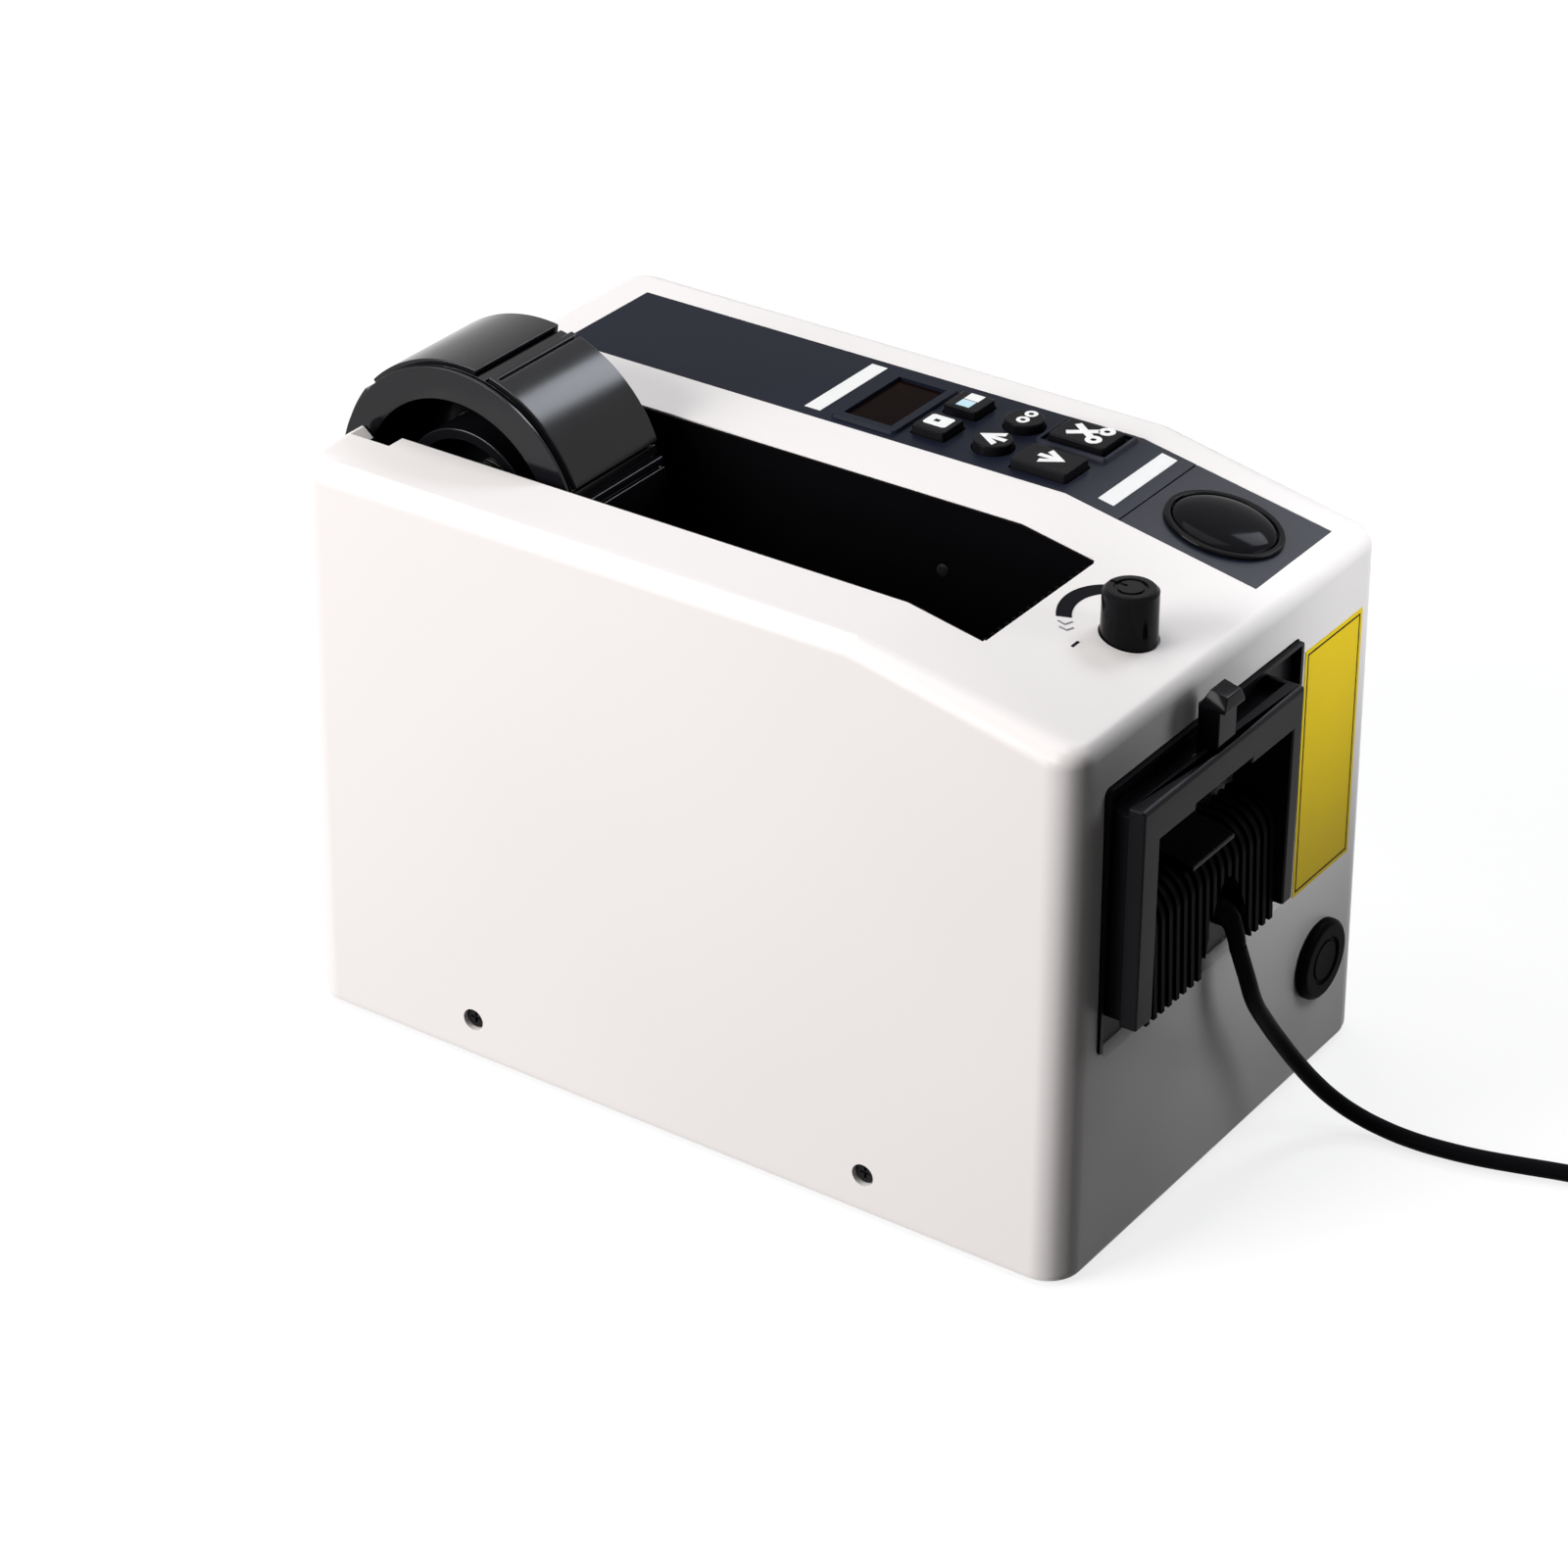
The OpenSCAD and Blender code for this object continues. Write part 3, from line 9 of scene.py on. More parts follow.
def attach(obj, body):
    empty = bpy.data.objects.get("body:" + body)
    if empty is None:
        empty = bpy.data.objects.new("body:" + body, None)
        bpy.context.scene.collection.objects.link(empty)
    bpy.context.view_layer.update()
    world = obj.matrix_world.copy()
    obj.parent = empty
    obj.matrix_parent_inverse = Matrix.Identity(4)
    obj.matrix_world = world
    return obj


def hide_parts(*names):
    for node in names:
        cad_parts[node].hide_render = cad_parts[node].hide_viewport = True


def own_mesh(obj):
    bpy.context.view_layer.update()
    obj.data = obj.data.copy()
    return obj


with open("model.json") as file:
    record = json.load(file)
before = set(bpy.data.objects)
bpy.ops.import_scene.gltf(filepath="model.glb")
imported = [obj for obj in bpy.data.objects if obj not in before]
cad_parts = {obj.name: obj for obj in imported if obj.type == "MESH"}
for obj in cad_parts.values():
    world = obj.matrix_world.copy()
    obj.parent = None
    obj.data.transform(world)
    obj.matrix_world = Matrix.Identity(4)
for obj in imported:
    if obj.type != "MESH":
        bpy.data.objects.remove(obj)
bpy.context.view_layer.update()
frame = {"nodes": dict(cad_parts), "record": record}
nodes = frame["nodes"]
record = frame["record"]
body_of = {n: body for body, members in record["behaviour"]["bodies"].items() for n in members}
slot_of = {s["node"]: s["material_slot"] for s in record["subparts"]}
scene = bpy.context.scene

MM = 0.001

# Corners of the CAD triangles nearer than this are one point
MERGE = 0.002 * MM

# The top of the housing: a flat at the rear and a slope down to the front
TOP_Z = 158.5 * MM
BEND_Y = -52.8 * MM
SLOPE = math.atan(11.8 / 64)

# The front face leans back a little towards the top
FRONT_Y = -116.8 * MM
LEAN = 1.3 / 157

# Camera read from the photograph, whose frame is PHOTO pixels square
PHOTO = 1600
FOCAL_PX = 4683.9
CENTRE_PX = (853.7, 774.4)
CAMERA_TURN = math.radians(-55.78)
CAMERA_RISE = math.radians(29.92)
CAMERA_ROLL = math.radians(0.43)
CAMERA_AIM = Vector((-1.8, -1.8, 77.44)) * MM
CAMERA_FAR = 1174.95 * MM
SENSOR_MM = 36


def make_camera():
    back = Vector((math.sin(CAMERA_TURN) * math.cos(CAMERA_RISE),
                   -math.cos(CAMERA_TURN) * math.cos(CAMERA_RISE), math.sin(CAMERA_RISE)))
    right = Vector((math.cos(CAMERA_TURN), math.sin(CAMERA_TURN), 0))
    up = back.cross(right)
    side = right * math.cos(CAMERA_ROLL) + up * math.sin(CAMERA_ROLL)
    data = bpy.data.cameras.new("photo_camera")
    data.sensor_width = SENSOR_MM
    data.lens = FOCAL_PX / PHOTO * SENSOR_MM
    data.shift_x = (PHOTO / 2 - CENTRE_PX[0]) / PHOTO
    data.shift_y = (CENTRE_PX[1] - PHOTO / 2) / PHOTO
    camera = bpy.data.objects.new("photo_camera", data)
    turn = Matrix((side, back.cross(side), back)).transposed()
    camera.matrix_world = Matrix.Translation(CAMERA_AIM + back * CAMERA_FAR) @ turn.to_4x4()
    scene.collection.objects.link(camera)
    scene.camera = camera


make_camera()


# Node groups shared by the finishes

def set_inputs(node, values):
    for label, value in values.items():
        node.inputs[label].default_value = value


def new_group(name, inputs, outputs):
    group = bpy.data.node_groups.new(name, "ShaderNodeTree")
    for label, kind in inputs:
        group.interface.new_socket(label, in_out="INPUT", socket_type="NodeSocket" + kind)
    for label, kind in outputs:
        group.interface.new_socket(label, in_out="OUTPUT", socket_type="NodeSocket" + kind)
    return group, group.nodes.new("NodeGroupInput").outputs, group.nodes.new("NodeGroupOutput").inputs


def drive_tone(group, given, put, noise):
    """One noise picks the tone between deep and pale and the gloss between smooth and rough."""
    link = group.links.new
    tone = group.nodes.new("ShaderNodeMix")
    tone.data_type = "RGBA"
    link(noise.outputs["Fac"], tone.inputs["Factor"])
    link(given["Deep"], tone.inputs["A"])
    link(given["Pale"], tone.inputs["B"])
    link(tone.outputs["Result"], put["Tone"])
    gloss = group.nodes.new("ShaderNodeMapRange")
    link(noise.outputs["Fac"], gloss.inputs["Value"])
    link(given["Smooth"], gloss.inputs["To Min"])
    link(given["Rough"], gloss.inputs["To Max"])
    link(gloss.outputs["Result"], put["Roughness"])
    return gloss


def make_moulded_skin():
    """Patchy tone, patchy gloss and a fine grain, as on moulded plastic, rubber or lacquer."""
    group, given, put = new_group(
        "moulded_skin",
        [("Vector", "Vector"), ("Pale", "Color"), ("Deep", "Color"), ("Patch", "Float"), ("Smooth", "Float"),
         ("Rough", "Float"), ("Grain", "Float")],
        [("Tone", "Color"), ("Roughness", "Float"), ("Height", "Float")])
    link = group.links.new
    patch = group.nodes.new("ShaderNodeTexNoise")
    patch.inputs["Detail"].default_value = 2
    link(given["Vector"], patch.inputs["Vector"])
    link(given["Patch"], patch.inputs["Scale"])
    gloss = drive_tone(group, given, put, patch)
    gloss.interpolation_type = "SMOOTHSTEP"
    set_inputs(gloss, {"From Min": 0.2, "From Max": 0.8})
    grain = group.nodes.new("ShaderNodeTexNoise")
    grain.inputs["Detail"].default_value = 2
    link(given["Vector"], grain.inputs["Vector"])
    link(given["Grain"], grain.inputs["Scale"])
    link(grain.outputs["Fac"], put["Height"])
    return group


def make_brushed_skin():
    """Fine streaks along one direction, as on rolled or ground metal."""
    group, given, put = new_group(
        "brushed_skin",
        [("Vector", "Vector"), ("Pale", "Color"), ("Deep", "Color"), ("Stretch", "Vector"), ("Smooth", "Float"),
         ("Rough", "Float")],
        [("Tone", "Color"), ("Roughness", "Float"), ("Height", "Float")])
    link = group.links.new
    stretch = group.nodes.new("ShaderNodeVectorMath")
    stretch.operation = "MULTIPLY"
    link(given["Vector"], stretch.inputs[0])
    link(given["Stretch"], stretch.inputs[1])
    streak = group.nodes.new("ShaderNodeTexNoise")
    set_inputs(streak, {"Scale": 1, "Detail": 5})
    link(stretch.outputs["Vector"], streak.inputs["Vector"])
    drive_tone(group, given, put, streak)
    link(streak.outputs["Fac"], put["Height"])
    return group


MOULDED = make_moulded_skin()
BRUSHED = make_brushed_skin()


def new_finish(name, group, settings, relief, metallic, specular):
    material = bpy.data.materials.new(name)
    material.use_nodes = True
    tree = material.node_tree
    shader = tree.nodes["Principled BSDF"]
    set_inputs(shader, {"Metallic": metallic, "Specular IOR Level": specular})
    skin = tree.nodes.new("ShaderNodeGroup")
    skin.node_tree = group
    set_inputs(skin, settings)
    place = tree.nodes.new("ShaderNodeTexCoord")
    bump = tree.nodes.new("ShaderNodeBump")
    set_inputs(bump, {"Strength": relief, "Distance": 0.1 * MM})
    link = tree.links.new
    link(place.outputs["Object"], skin.inputs["Vector"])
    link(skin.outputs["Tone"], shader.inputs["Base Color"])
    link(skin.outputs["Roughness"], shader.inputs["Roughness"])
    link(skin.outputs["Height"], bump.inputs["Height"])
    link(bump.outputs["Normal"], shader.inputs["Normal"])
    return material


def moulded(name, pale, deep, gloss, patch=22, grain=1800, relief=0.15, specular=0.5):
    settings = {"Pale": (*pale, 1), "Deep": (*deep, 1), "Patch": patch, "Smooth": gloss[0], "Rough": gloss[1],
                "Grain": grain}
    return new_finish(name, MOULDED, settings, relief, 0.0, specular)


def brushed(name, pale, deep, gloss, stretch, relief=0.2):
    settings = {"Pale": (*pale, 1), "Deep": (*deep, 1), "Stretch": stretch, "Smooth": gloss[0], "Rough": gloss[1]}
    return new_finish(name, BRUSHED, settings, relief, 1.0, 0.5)


# Streaks that run across the part, along x, and along it, along y
ACROSS = (60, 2200, 2200)
ALONG = (2200, 60, 2200)
finishes = {
    "housing_plastic": moulded("ivory_housing", (0.82, 0.79, 0.775), (0.79, 0.76, 0.745), (0.3, 0.38), patch=12,
                               grain=900, relief=0.04, specular=0.15),
    "base_paint": moulded("base_enamel", (0.78, 0.75, 0.735), (0.74, 0.71, 0.695), (0.34, 0.44), patch=18, grain=1200,
                          relief=0.08),
    "black_plastic": moulded("black_moulding", (0.005, 0.005, 0.006), (0.0035, 0.0035, 0.0045), (0.26, 0.36),
                             grain=2600, relief=0.12, specular=0.06),
    "panel_plastic": moulded("satin_panel", (0.009, 0.011, 0.021), (0.006, 0.0075, 0.015), (0.3, 0.4), grain=3200,
                             relief=0.15),
    "key_plastic": moulded("key_caps", (0.005, 0.005, 0.006), (0.0035, 0.0035, 0.0045), (0.2, 0.28), grain=2600,
                           relief=0.08, specular=0.035),
    "start_plastic": moulded("start_dome", (0.007, 0.007, 0.009), (0.005, 0.005, 0.006), (0.06, 0.1), patch=60,
                             grain=2000, relief=0.02, specular=0.028),
    "display_lens": moulded("display_red", (0.007, 0.003, 0.0025), (0.005, 0.0025, 0.002), (0.1, 0.16), patch=60,
                            grain=1500, relief=0.02, specular=0.006),
    "foot_rubber": moulded("foot_rubber", (0.03, 0.03, 0.03), (0.02, 0.02, 0.02), (0.7, 0.85), grain=2200, relief=0.3),
    "sheet_steel": brushed("plated_sheet", (0.6, 0.6, 0.58), (0.48, 0.48, 0.47), (0.28, 0.42), ALONG),
    "bright_steel": brushed("ground_steel", (0.68, 0.68, 0.7), (0.55, 0.55, 0.57), (0.16, 0.3), ACROSS),
    "roller_rubber": moulded("feed_rubber", (0.05, 0.053, 0.056), (0.035, 0.037, 0.04), (0.6, 0.75), grain=2600,
                             relief=0.3),
    "white_nylon": moulded("white_nylon", (0.78, 0.78, 0.75), (0.7, 0.7, 0.67), (0.38, 0.5), relief=0.1),
    "brass": brushed("turned_brass", (0.72, 0.55, 0.24), (0.6, 0.44, 0.18), (0.2, 0.34), ACROSS),
    "circuit_board": moulded("board_lacquer", (0.03, 0.19, 0.075), (0.02, 0.13, 0.05), (0.25, 0.4), patch=160,
                             grain=900, relief=0.2),
    "transformer_iron": moulded("varnished_iron", (0.19, 0.15, 0.11), (0.12, 0.095, 0.07), (0.4, 0.6), patch=90,
                                grain=1500, relief=0.4),
    "cord_pvc": moulded("lead_sheath", (0.006, 0.006, 0.007), (0.004, 0.004, 0.005), (0.36, 0.48), patch=70,
                        grain=1600, relief=0.12, specular=0.012),
}
dull_black = moulded("dull_black", (0.003, 0.003, 0.0035), (0.002, 0.002, 0.0025), (0.3, 0.42), grain=2600, relief=0.12,
                     specular=0.008)
gloss_black = moulded("gloss_black", (0.004, 0.004, 0.005), (0.003, 0.003, 0.0035), (0.08, 0.14), patch=60, grain=2600,
                      relief=0.04, specular=0.07)
reel_black = moulded("reel_black", (0.007, 0.007, 0.009), (0.005, 0.005, 0.006), (0.14, 0.2), grain=2400, relief=0.05,
                     specular=0.25)
screw_black = moulded("screw_black", (0.012, 0.012, 0.013), (0.007, 0.007, 0.008), (0.3, 0.45), patch=400, grain=3000,
                      relief=0.3, specular=0.08)


def paint_sheen_along(material, start, end, dull, bright):
    """Painted sheen: lets a finish's reflectivity grow from dull to bright between two distances along the part."""
    tree = material.node_tree
    place = tree.nodes.new("ShaderNodeTexCoord")
    split = tree.nodes.new("ShaderNodeSeparateXYZ")
    grow = tree.nodes.new("ShaderNodeMapRange")
    grow.interpolation_type = "SMOOTHSTEP"
    set_inputs(grow, {"From Min": start, "From Max": end, "To Min": dull, "To Max": bright})
    tree.links.new(place.outputs["Object"], split.inputs[0])
    tree.links.new(split.outputs["Y"], grow.inputs["Value"])
    tree.links.new(grow.outputs["Result"], tree.nodes["Principled BSDF"].inputs["Specular IOR Level"])


# Painted sheen: the panel is made more reflective towards the front, standing in for the reflection of a lamp on its
# front part
paint_sheen_along(finishes["panel_plastic"], -35 * MM, -85 * MM, 0.035, 0.3)
special = {node: finish for finish, members in (
    (dull_black, ("bay_liner", "outlet_chute", "blanking_plug", "cradle_left", "cradle_right", "entry_guide",
                  "cord_gland")),
    (gloss_black, ("pressure_knob", "start_ring", "release_latch")),
    (reel_black, ("reel_drum", "reel_hub", "reel_grips")),
    (screw_black, ("case_screws",)),
) for node in members}
white_print = moulded("white_print", (0.8, 0.8, 0.79), (0.76, 0.76, 0.75), (0.4, 0.5), patch=200, relief=0.05)
blue_print = moulded("pale_blue_print", (0.5, 0.7, 0.78), (0.45, 0.64, 0.72), (0.4, 0.5), patch=200, relief=0.05)
black_print = moulded("black_print", (0.007, 0.007, 0.009), (0.005, 0.005, 0.007), (0.45, 0.55), patch=200, relief=0.05,
                      specular=0.02)
yellow_foil = moulded("yellow_foil", (0.88, 0.64, 0.012), (0.84, 0.59, 0.009), (0.28, 0.36), patch=40, relief=0.05,
                      specular=0.03)
grey_print = moulded("grey_print", (0.16, 0.16, 0.17), (0.13, 0.13, 0.14), (0.35, 0.45), patch=200, relief=0.05)


def finish_for(node):
    return special.get(node, finishes[slot_of[node]])


# Helpers that turn a bmesh into a piece of the object

def add_piece(bm, name, material, body, sharp=35):
    for face in bm.faces:
        face.smooth = True
    mesh = bpy.data.meshes.new(name)
    bm.to_mesh(mesh)
    bm.free()
    mesh.materials.append(material)
    mesh.set_sharp_from_angle(angle=math.radians(sharp))
    piece = bpy.data.objects.new(name, mesh)
    scene.collection.objects.link(piece)
    weigh = piece.modifiers.new("even_shading", "WEIGHTED_NORMAL")
    weigh.keep_sharp = True
    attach(piece, body)
    return piece


def merged_copy(node, flat):
    """The CAD node's triangles as one joined skin with its flat faces made whole."""
    bm = bmesh.new()
    bm.from_mesh(nodes[node].data)
    for layer in list(bm.loops.layers.uv.values()):
        bm.loops.layers.uv.remove(layer)
    bmesh.ops.remove_doubles(bm, verts=bm.verts, dist=MERGE)
    bmesh.ops.dissolve_limit(bm, angle_limit=math.radians(flat), verts=bm.verts, edges=bm.edges)
    return bm


def soften(node, radius, corner=30, segments=2, flat=0.6, shape=None):
    """A copy of a CAD node with its sharp edges rounded, which then stands for the node."""
    bm = merged_copy(node, flat)
    if shape:
        shape(bm)
    if radius:
        edges = [e for e in bm.edges if e.is_manifold and e.calc_face_angle() > math.radians(corner)]
        bmesh.ops.bevel(bm, geom=edges, offset=radius, offset_type="OFFSET", segments=segments, profile=0.5,
                        affect="EDGES", clamp_overlap=True, material=-1)
    piece = add_piece(bm, node + "_skin", finish_for(node), body_of[node])
    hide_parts(node)
    return piece


def top_place(x, y):
    """Where a flat print lies on the top of the housing, flat or sloping."""
    drop = max(0.0, BEND_Y - y) * math.tan(SLOPE)
    lean = Matrix.Rotation(SLOPE, 4, "X") if y < BEND_Y else Matrix.Identity(4)
    return Matrix.Translation((x, y, TOP_Z - drop)) @ lean


# Mains lead: the route of the free stretch, then a two-layer coil that ends in the plug
CORD_D = 4.4 * MM
GLAND_TOP = Vector((-10, -114.3, 80)) * MM
GLAND_END = Vector((-5.1, -122.8, 66)) * MM
GLAND_AXIS = (GLAND_END - GLAND_TOP).normalized()
GLAND_SLIM = 0.8
GLAND_SAG = Vector((0, -7.2, 14)) * MM
ROUTE = [
    (-2.8, -124.6, 56.5), (0.7, -125.1, 48), (6.7, -125.7, 39), (12.2, -126.8, 31), (17.7, -129, 22.5),
    (22.7, -132, 14.8), (26.7, -136.2, 8.6), (29, -141.8, 4.8), (29.9, -148.8, 3), (30.2, -156.8, 2.5),
    (31, -164.8, 2.5), (32.8, -173.8, 2.5), (35.8, -183.8, 2.5), (39.1, -193.8, 2.5), (42.1, -204.8, 2.5),
    (44.4, -216.8, 2.6), (45.8, -229.8, 3), (46.2, -241.8, 3.3), (46.2, -253.8, 3.3),
]
COIL_OUT = 36 * MM
COIL_STEP = 5.6 * MM
COIL_RISE = 5.5 * MM
COIL_BASE = 3.3 * MM
COIL_TURNS = 3
COIL_CENTRE = Vector((10.2, -259.8)) * MM
PLUG_Z = 8 * MM
TAIL = ((7, 0.4), (12, 0), (16, 0))
STEPS = 24


def coil_points():
    flip = COIL_TURNS + 0.125
    points = []
    for i in range(int(2 * flip * STEPS) + 1):
        turn = i / STEPS
        radius = COIL_OUT - COIL_STEP * (flip - abs(turn - flip))
        climb = min(1, max(0, 2 * (turn - flip) + 0.5))
        angle = -2 * math.pi * turn
        points.append(Vector((COIL_CENTRE.x + radius * math.cos(angle), COIL_CENTRE.y + radius * math.sin(angle),
                              COIL_BASE + COIL_RISE * climb)))
    for run, lift in TAIL:
        points.append(Vector((COIL_CENTRE.x - run * MM, COIL_CENTRE.y - COIL_OUT, PLUG_Z + lift * MM)))
    return points


def make_lead():
    points = [GLAND_END] + [Vector(p) * MM for p in ROUTE] + coil_points()
    curve = bpy.data.curves.new("mains_lead", "CURVE")
    curve.dimensions = "3D"
    curve.bevel_depth = CORD_D / 2
    curve.bevel_resolution = 5
    curve.resolution_u = 4
    curve.use_fill_caps = True
    spline = curve.splines.new("BEZIER")
    spline.bezier_points.add(len(points) - 1)
    for knot, point in zip(spline.bezier_points, points):
        knot.co = point
        knot.handle_left_type = knot.handle_right_type = "AUTO"
    curve.materials.append(finishes["cord_pvc"])
    lead = bpy.data.objects.new("mains_lead", curve)
    scene.collection.objects.link(lead)
    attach(lead, "case")
    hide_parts("power_cord", "cord_coil")
    length = sum((b - a).length for a, b in zip(points, points[1:]))
    return lead, length


def bend_gland(bm):
    """The soft gland closes round the lead and hangs down with it."""
    for vert in bm.verts:
        run = (vert.co - GLAND_END).dot(-GLAND_AXIS)
        foot = GLAND_END - GLAND_AXIS * run
        share = run / (GLAND_TOP - GLAND_END).length
        vert.co = foot + (vert.co - foot) * GLAND_SLIM + GLAND_SAG * share * (1 - share)


lead, lead_length = make_lead()
plug = soften("mains_plug", 0.8 * MM)
tie = soften("coil_tie", 0.2 * MM)
gland = soften("cord_gland", 0.3 * MM, shape=bend_gland)

# Moulded pieces in view, each with the edge radius its tool gives it
for node, radius in {
    "base_plate": 0.2, "bay_liner": 0.3, "reel_drum": 0.35, "reel_hub": 0.4, "reel_grips": 0.5,
    "entry_guide": 0.15, "control_panel": 0.25, "button_panel": 0.2, "start_ring": 0.45, "start_button": 0.3,
    "display_window": 0.2, "key_single": 0.35, "key_double": 0.35, "key_preset": 0.35, "key_up": 0.35,
    "key_cut": 0.35, "key_down": 0.35, "pressure_knob": 0.3, "outlet_plate": 0.3, "outlet_hood": 0.6,
    "outlet_chute": 0.3, "outlet_tongue": 0.3, "release_latch": 0.5, "blanking_plug": 0.3, "switch_bezel": 0.4,
    "switch_rocker": 0.4, "cradle_left": 0.3, "cradle_right": 0.3,
}.items():
    soften(node, radius * MM)
soften("housing", 0.4 * MM, corner=42, flat=0.02)

# The spring as a merged copy, not rounded, with a mesh of its own
spring = soften("press_spring", 0, flat=0.01)
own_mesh(spring)


HEAD_TALL = 2.1 * MM
HEAD_MORE = 4.3 * MM


def lengthen_heads(bm):
    """The case screws' heads are drawn longer, up to just below the sides, so that their black fills the bores and
    darkens them.
    """
    reach = max(v.co.x for v in bm.verts)
    for vert in bm.verts:
        if abs(vert.co.x) > reach - HEAD_TALL:
            vert.co.x += math.copysign(HEAD_MORE, vert.co.x)


soften("case_screws", 0.25 * MM, shape=lengthen_heads)


BAY_SCREW_AT = Vector((1.4, -30.9, 139.2)) * MM
BAY_SCREW_R = 1.8 * MM
BAY_SCREW_FLAT = 0.3


def make_bay_screw():
    """A pan head low on the right wall of the tape bay."""
    bm = bmesh.new()
    bmesh.ops.create_uvsphere(bm, u_segments=24, v_segments=12, radius=BAY_SCREW_R)
    bmesh.ops.bisect_plane(bm, geom=bm.verts[:] + bm.edges[:] + bm.faces[:], plane_co=(0, 0, 0), plane_no=(1, 0, 0),
                           clear_outer=True)
    bmesh.ops.holes_fill(bm, edges=bm.edges, sides=0)
    place = Matrix.Translation(BAY_SCREW_AT) @ Matrix.Diagonal((BAY_SCREW_FLAT, 1, 1, 1))
    bmesh.ops.transform(bm, matrix=place, verts=bm.verts)
    bmesh.ops.recalc_face_normals(bm, faces=bm.faces)
    add_piece(bm, "bay_screw", screw_black, "case", sharp=50)


make_bay_screw()

# What stays as packed takes its finish on the node itself
for node, thing in nodes.items():
    thing.data.materials.clear()
    thing.data.materials.append(finish_for(node))


# Printed marks: thin raised films on the panel, the keys, the sloping top and the front
FILM = 0.1 * MM
KEY_TOP = TOP_Z + 2.4 * MM


def front_place(x, z):
    """Where a flat print lies on the front face."""
    return (Matrix.Translation((x, FRONT_Y + LEAN * z, z))
            @ Matrix.Rotation(math.pi / 2 - math.atan(LEAN), 4, "X"))


def add_print(name, shapes, place, material, body="case"):
    """Flat outlines in millimetres, given a film's thickness and laid at a place."""
    bm = bmesh.new()
    for outline in shapes:
        bm.faces.new([bm.verts.new((x * MM, y * MM, 0)) for x, y in outline])
    bmesh.ops.remove_doubles(bm, verts=bm.verts, dist=MERGE)
    raised = bmesh.ops.extrude_face_region(bm, geom=bm.faces[:])
    bmesh.ops.translate(bm, vec=(0, 0, FILM), verts=[v for v in raised["geom"] if isinstance(v, bmesh.types.BMVert)])
    bmesh.ops.recalc_face_normals(bm, faces=bm.faces)
    bmesh.ops.transform(bm, matrix=place, verts=bm.verts)
    return add_piece(bm, name, material, body)


def box(x0, y0, x1, y1):
    return [(x0, y0), (x1, y0), (x1, y1), (x0, y1)]


def stroke(a, b, wide):
    """A straight line of a given width as an outline."""
    along = Vector((b[0] - a[0], b[1] - a[1])).normalized() * wide / 2
    return [(a[0] + along.y, a[1] - along.x), (b[0] + along.y, b[1] - along.x),
            (b[0] - along.y, b[1] + along.x), (a[0] - along.y, a[1] + along.x)]


def band(x, y, r0, r1, start, end, steps):
    """Part of a ring as a row of outlines."""
    turns = [math.radians(start + (end - start) * i / steps) for i in range(steps + 1)]
    return [[(x + r * math.cos(a), y + r * math.sin(a)) for r, a in ((r0, p), (r1, p), (r1, q), (r0, q))]
            for p, q in zip(turns, turns[1:])]


def rim(x0, y0, x1, y1, wide):
    """The four sides of a rectangle as outlines."""
    return [box(x0, y0, x1, y0 + wide), box(x0, y1 - wide, x1, y1), box(x0, y0 + wide, x0 + wide, y1 - wide),
            box(x1 - wide, y0 + wide, x1, y1 - wide)]


def ring(x, y, r0, r1):
    return band(x, y, r0, r1, 0, 360, 24)


def arrow(way):
    """An arrow that points up the panel for 1 and down it for -1."""
    return [[(0, 4.3 * way), (3.9, -1.6 * way), (2.1, -2.0 * way), (0.75, 0.6 * way), (0.75, -3.4 * way),
             (-0.75, -3.4 * way), (-0.75, 0.6 * way), (-2.1, -2.0 * way), (-3.9, -1.6 * way)]]


# Key places as (x, y); the marks sit a little to the right of each key's middle
MARK_X = 0.5
KEYS = {"single": (33.3, -8), "double": (47.9, -8), "preset": (47.9, -24.6), "up": (33.3, -24.6),
        "cut": (49.4, -42.1), "down": (31.8, -42.1)}
ICONS = {
    "single": [("page", white_print, [
        [(-2.8, -2.8), (-2.2, -3.4), (-0.8, -3.4), (-0.8, 3.4), (-2.2, 3.4), (-2.8, 2.8)],
        [(0.8, -3.4), (2.2, -3.4), (2.8, -2.8), (2.8, 2.8), (2.2, 3.4), (0.8, 3.4)],
        box(-0.8, -3.4, 0.8, -0.3), box(-0.8, 1.3, 0.8, 3.4)])],
    "double": [("near_block", blue_print, [box(-3.9, -2, -0.3, 2)]),
               ("far_block", white_print, [box(0.1, -2.2, 3.7, 2)])],
    "preset": [("rings", white_print, ring(-1.8, -0.3, 0.75, 1.75) + ring(2.2, -0.3, 0.75, 1.75))],
    "up": [("arrow", white_print, arrow(1))],
    "cut": [("scissors", white_print, ring(-2.9, -3.4, 0.8, 2.2) + ring(2.9, -3.9, 0.8, 2.2)
             + [stroke((2.0, -2.3), (-3.0, 4.6), 1.9)]),
            ("blade", white_print, [stroke((-2.0, -2.0), (2.6, 4.4), 1.9)])],
    "down": [("arrow", white_print, arrow(-1))],
}
for key, (x, y) in KEYS.items():
    for mark, ink, shapes in ICONS[key]:
        lift = FILM / 2 if mark == "blade" else 0
        place = Matrix.Translation(((x + MARK_X) * MM, y * MM, KEY_TOP + lift))
        add_print("%s_key_%s" % (key, mark), shapes, place, ink, body=key + "_key")

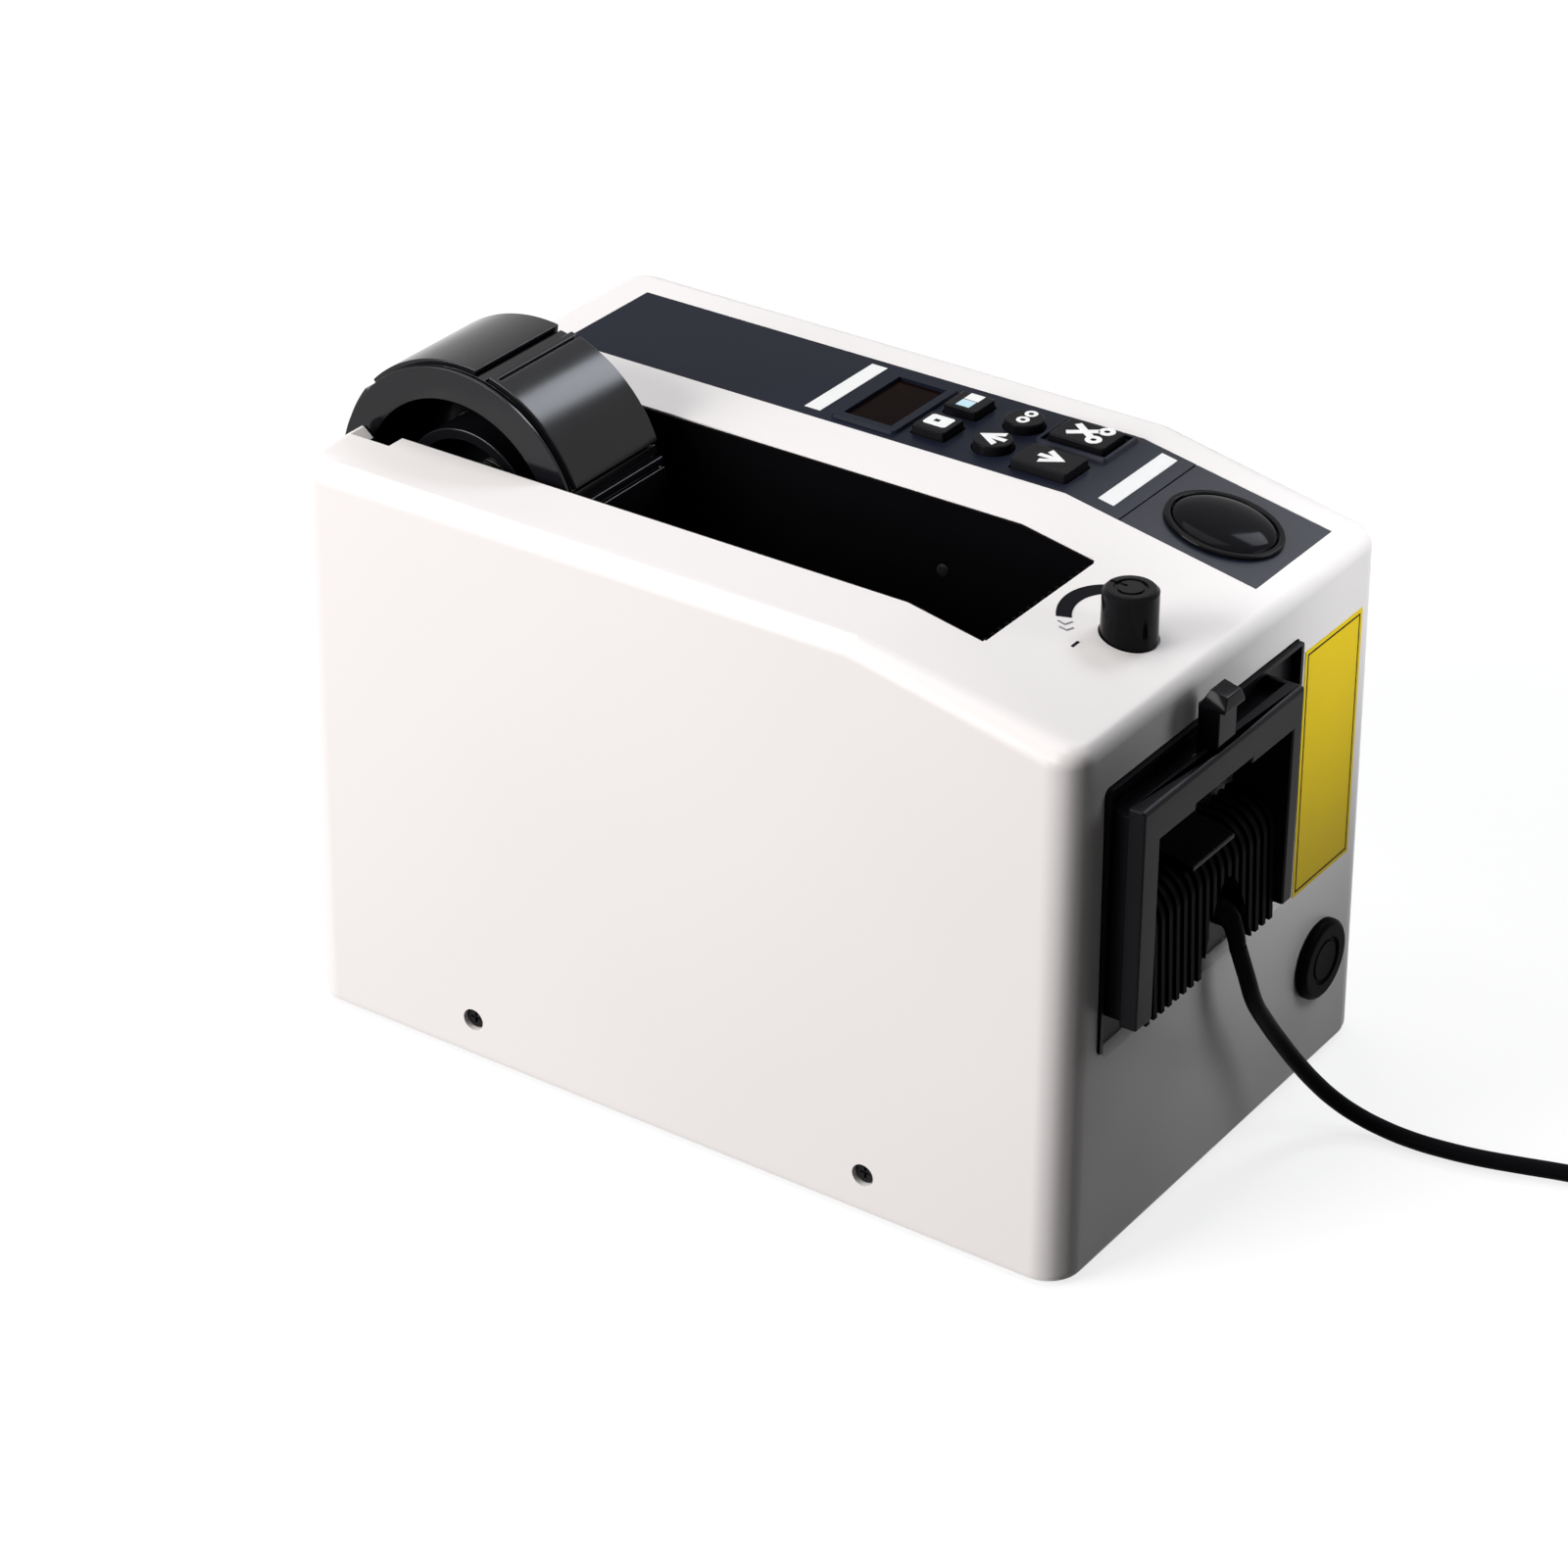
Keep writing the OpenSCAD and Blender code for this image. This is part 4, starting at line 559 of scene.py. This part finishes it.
add_print("rear_strip", [box(-15.4, -2.4, 15.4, 2.4)], top_place(41 * MM, 25.1 * MM), white_print)
add_print("front_strip", [box(-15.3, -2.3, 15.3, 2.3)], top_place(41.6 * MM, -62 * MM), white_print)
dial = top_place(-16 * MM, -93.1 * MM)
add_print("pressure_arc", band(0, 0, 12.45, 16.3, 40, 126, 40), dial, black_print)
add_print("pressure_chevrons", [
    stroke((-10.9, 11.8), (-11, 9.6), 0.45), stroke((-11, 9.7), (-8.6, 9), 0.45),
    stroke((-12.8, 10.2), (-12.75, 8), 0.45), stroke((-12.75, 8.1), (-10.6, 7.5), 0.45)], dial, grey_print)
add_print("pressure_minus", [box(-17.6, 3.2, -14.6, 3.9)], dial, black_print)
add_print("pressure_plus", [
    box(14.6, 3.2, 17.6, 3.9), box(15.75, 2.05, 16.45, 3.2), box(15.75, 3.9, 16.45, 5.05)], dial, black_print)
plate_at = front_place(48.1 * MM, 93.2 * MM)
add_print("front_plate", [box(-14.3, -35.2, 14.3, 35.2)], plate_at, yellow_foil)
add_print("front_plate_line", rim(-13.2, -34.1, 13.2, 34.1, 0.5), plate_at @ Matrix.Translation((0, 0, FILM / 2)),
          black_print)


# Studio: a pale floor that runs out to white, a large soft key from the left rear, a soft light overhead, a cool one at
# the right and a small one near the right of the front
FLOOR_WIDE = 6
FLOOR_LIT = 0.03
FLOOR_SHOWN = 0.3
FLOOR_GLOW = {"From Min": 0.4, "From Max": 1.6, "To Min": 0.78, "To Max": 1}
AIR_LIT = 0.07
AIR_SHOWN = 1


def camera_sees(tree):
    """One where the camera looks, straight, in a mirror or through glass, and nought for the light on the object."""
    path = tree.nodes.new("ShaderNodeLightPath")
    seen = path.outputs["Is Camera Ray"]
    for ray in ("Is Glossy Ray", "Is Transmission Ray"):
        either = tree.nodes.new("ShaderNodeMath")
        either.operation = "MAXIMUM"
        tree.links.new(seen, either.inputs[0])
        tree.links.new(path.outputs[ray], either.inputs[1])
        seen = either.outputs[0]
    return seen


def make_floor():
    bm = bmesh.new()
    bmesh.ops.create_grid(bm, x_segments=1, y_segments=1, size=FLOOR_WIDE)
    mesh = bpy.data.meshes.new("studio_floor")
    bm.to_mesh(mesh)
    bm.free()
    material = bpy.data.materials.new("pale_floor")
    material.use_nodes = True
    tree = material.node_tree
    tree.nodes.remove(tree.nodes["Principled BSDF"])
    lit = tree.nodes.new("ShaderNodeBsdfDiffuse")
    lit.inputs["Color"].default_value = (FLOOR_LIT, FLOOR_LIT, FLOOR_LIT, 1)
    shown = tree.nodes.new("ShaderNodeBsdfDiffuse")
    shown.inputs["Color"].default_value = (FLOOR_SHOWN, FLOOR_SHOWN, FLOOR_SHOWN, 1)
    glow = tree.nodes.new("ShaderNodeEmission")
    place = tree.nodes.new("ShaderNodeTexCoord")
    far = tree.nodes.new("ShaderNodeVectorMath")
    far.operation = "LENGTH"
    fade = tree.nodes.new("ShaderNodeMapRange")
    fade.interpolation_type = "SMOOTHSTEP"
    set_inputs(fade, FLOOR_GLOW)
    add = tree.nodes.new("ShaderNodeAddShader")
    mix = tree.nodes.new("ShaderNodeMixShader")
    link = tree.links.new
    link(place.outputs["Object"], far.inputs[0])
    link(far.outputs["Value"], fade.inputs["Value"])
    link(fade.outputs["Result"], glow.inputs["Strength"])
    link(shown.outputs[0], add.inputs[0])
    link(glow.outputs[0], add.inputs[1])
    link(camera_sees(tree), mix.inputs[0])
    link(lit.outputs[0], mix.inputs[1])
    link(add.outputs[0], mix.inputs[2])
    link(mix.outputs[0], tree.nodes["Material Output"].inputs["Surface"])
    mesh.materials.append(material)
    floor = bpy.data.objects.new("studio_floor", mesh)
    scene.collection.objects.link(floor)


def make_world():
    world = bpy.data.worlds.new("studio_air")
    world.use_nodes = True
    tree = world.node_tree
    air = tree.nodes["Background"]
    set_inputs(air, {"Color": (1, 1, 1, 1), "Strength": AIR_LIT})
    shown = tree.nodes.new("ShaderNodeBackground")
    set_inputs(shown, {"Color": (1, 1, 1, 1), "Strength": AIR_SHOWN})
    mix = tree.nodes.new("ShaderNodeMixShader")
    tree.links.new(camera_sees(tree), mix.inputs[0])
    tree.links.new(air.outputs[0], mix.inputs[1])
    tree.links.new(shown.outputs[0], mix.inputs[2])
    tree.links.new(mix.outputs[0], tree.nodes["World Output"].inputs["Surface"])
    scene.world = world


def make_lamp(name, place, aim, size, watts, tint=(1, 1, 1), spread=180):
    data = bpy.data.lights.new(name, "AREA")
    data.shape = "RECTANGLE"
    data.size, data.size_y = size
    data.energy = watts
    data.color = tint
    data.spread = math.radians(spread)
    lamp = bpy.data.objects.new(name, data)
    lamp.location = place
    lamp.rotation_mode = "QUATERNION"
    lamp.rotation_quaternion = (Vector(aim) - Vector(place)).to_track_quat("-Z", "Y")
    lamp.visible_camera = False
    scene.collection.objects.link(lamp)


make_floor()
make_world()
make_lamp("key_softbox", (-1.5, 0.85, 0.8), (0, 0.05, 0.09), (1.0, 1.0), 45, (1, 0.98, 0.985))
make_lamp("top_softbox", (0.05, 0.3, 1.5), (0, 0.02, 0.15), (1.1, 0.9), 11)
make_lamp("right_softbox", (0.84, -0.17, 0.95), (0, 0.05, 0.15), (0.34, 0.34), 4, (0.86, 0.91, 1))
make_lamp("front_softbox", (0.073, -0.215, 0.178), (0.05, -0.116, 0.122), (0.08, 0.08), 0.033, (0.95, 0.97, 1),
          spread=80)

scene.view_settings.view_transform = "Standard"
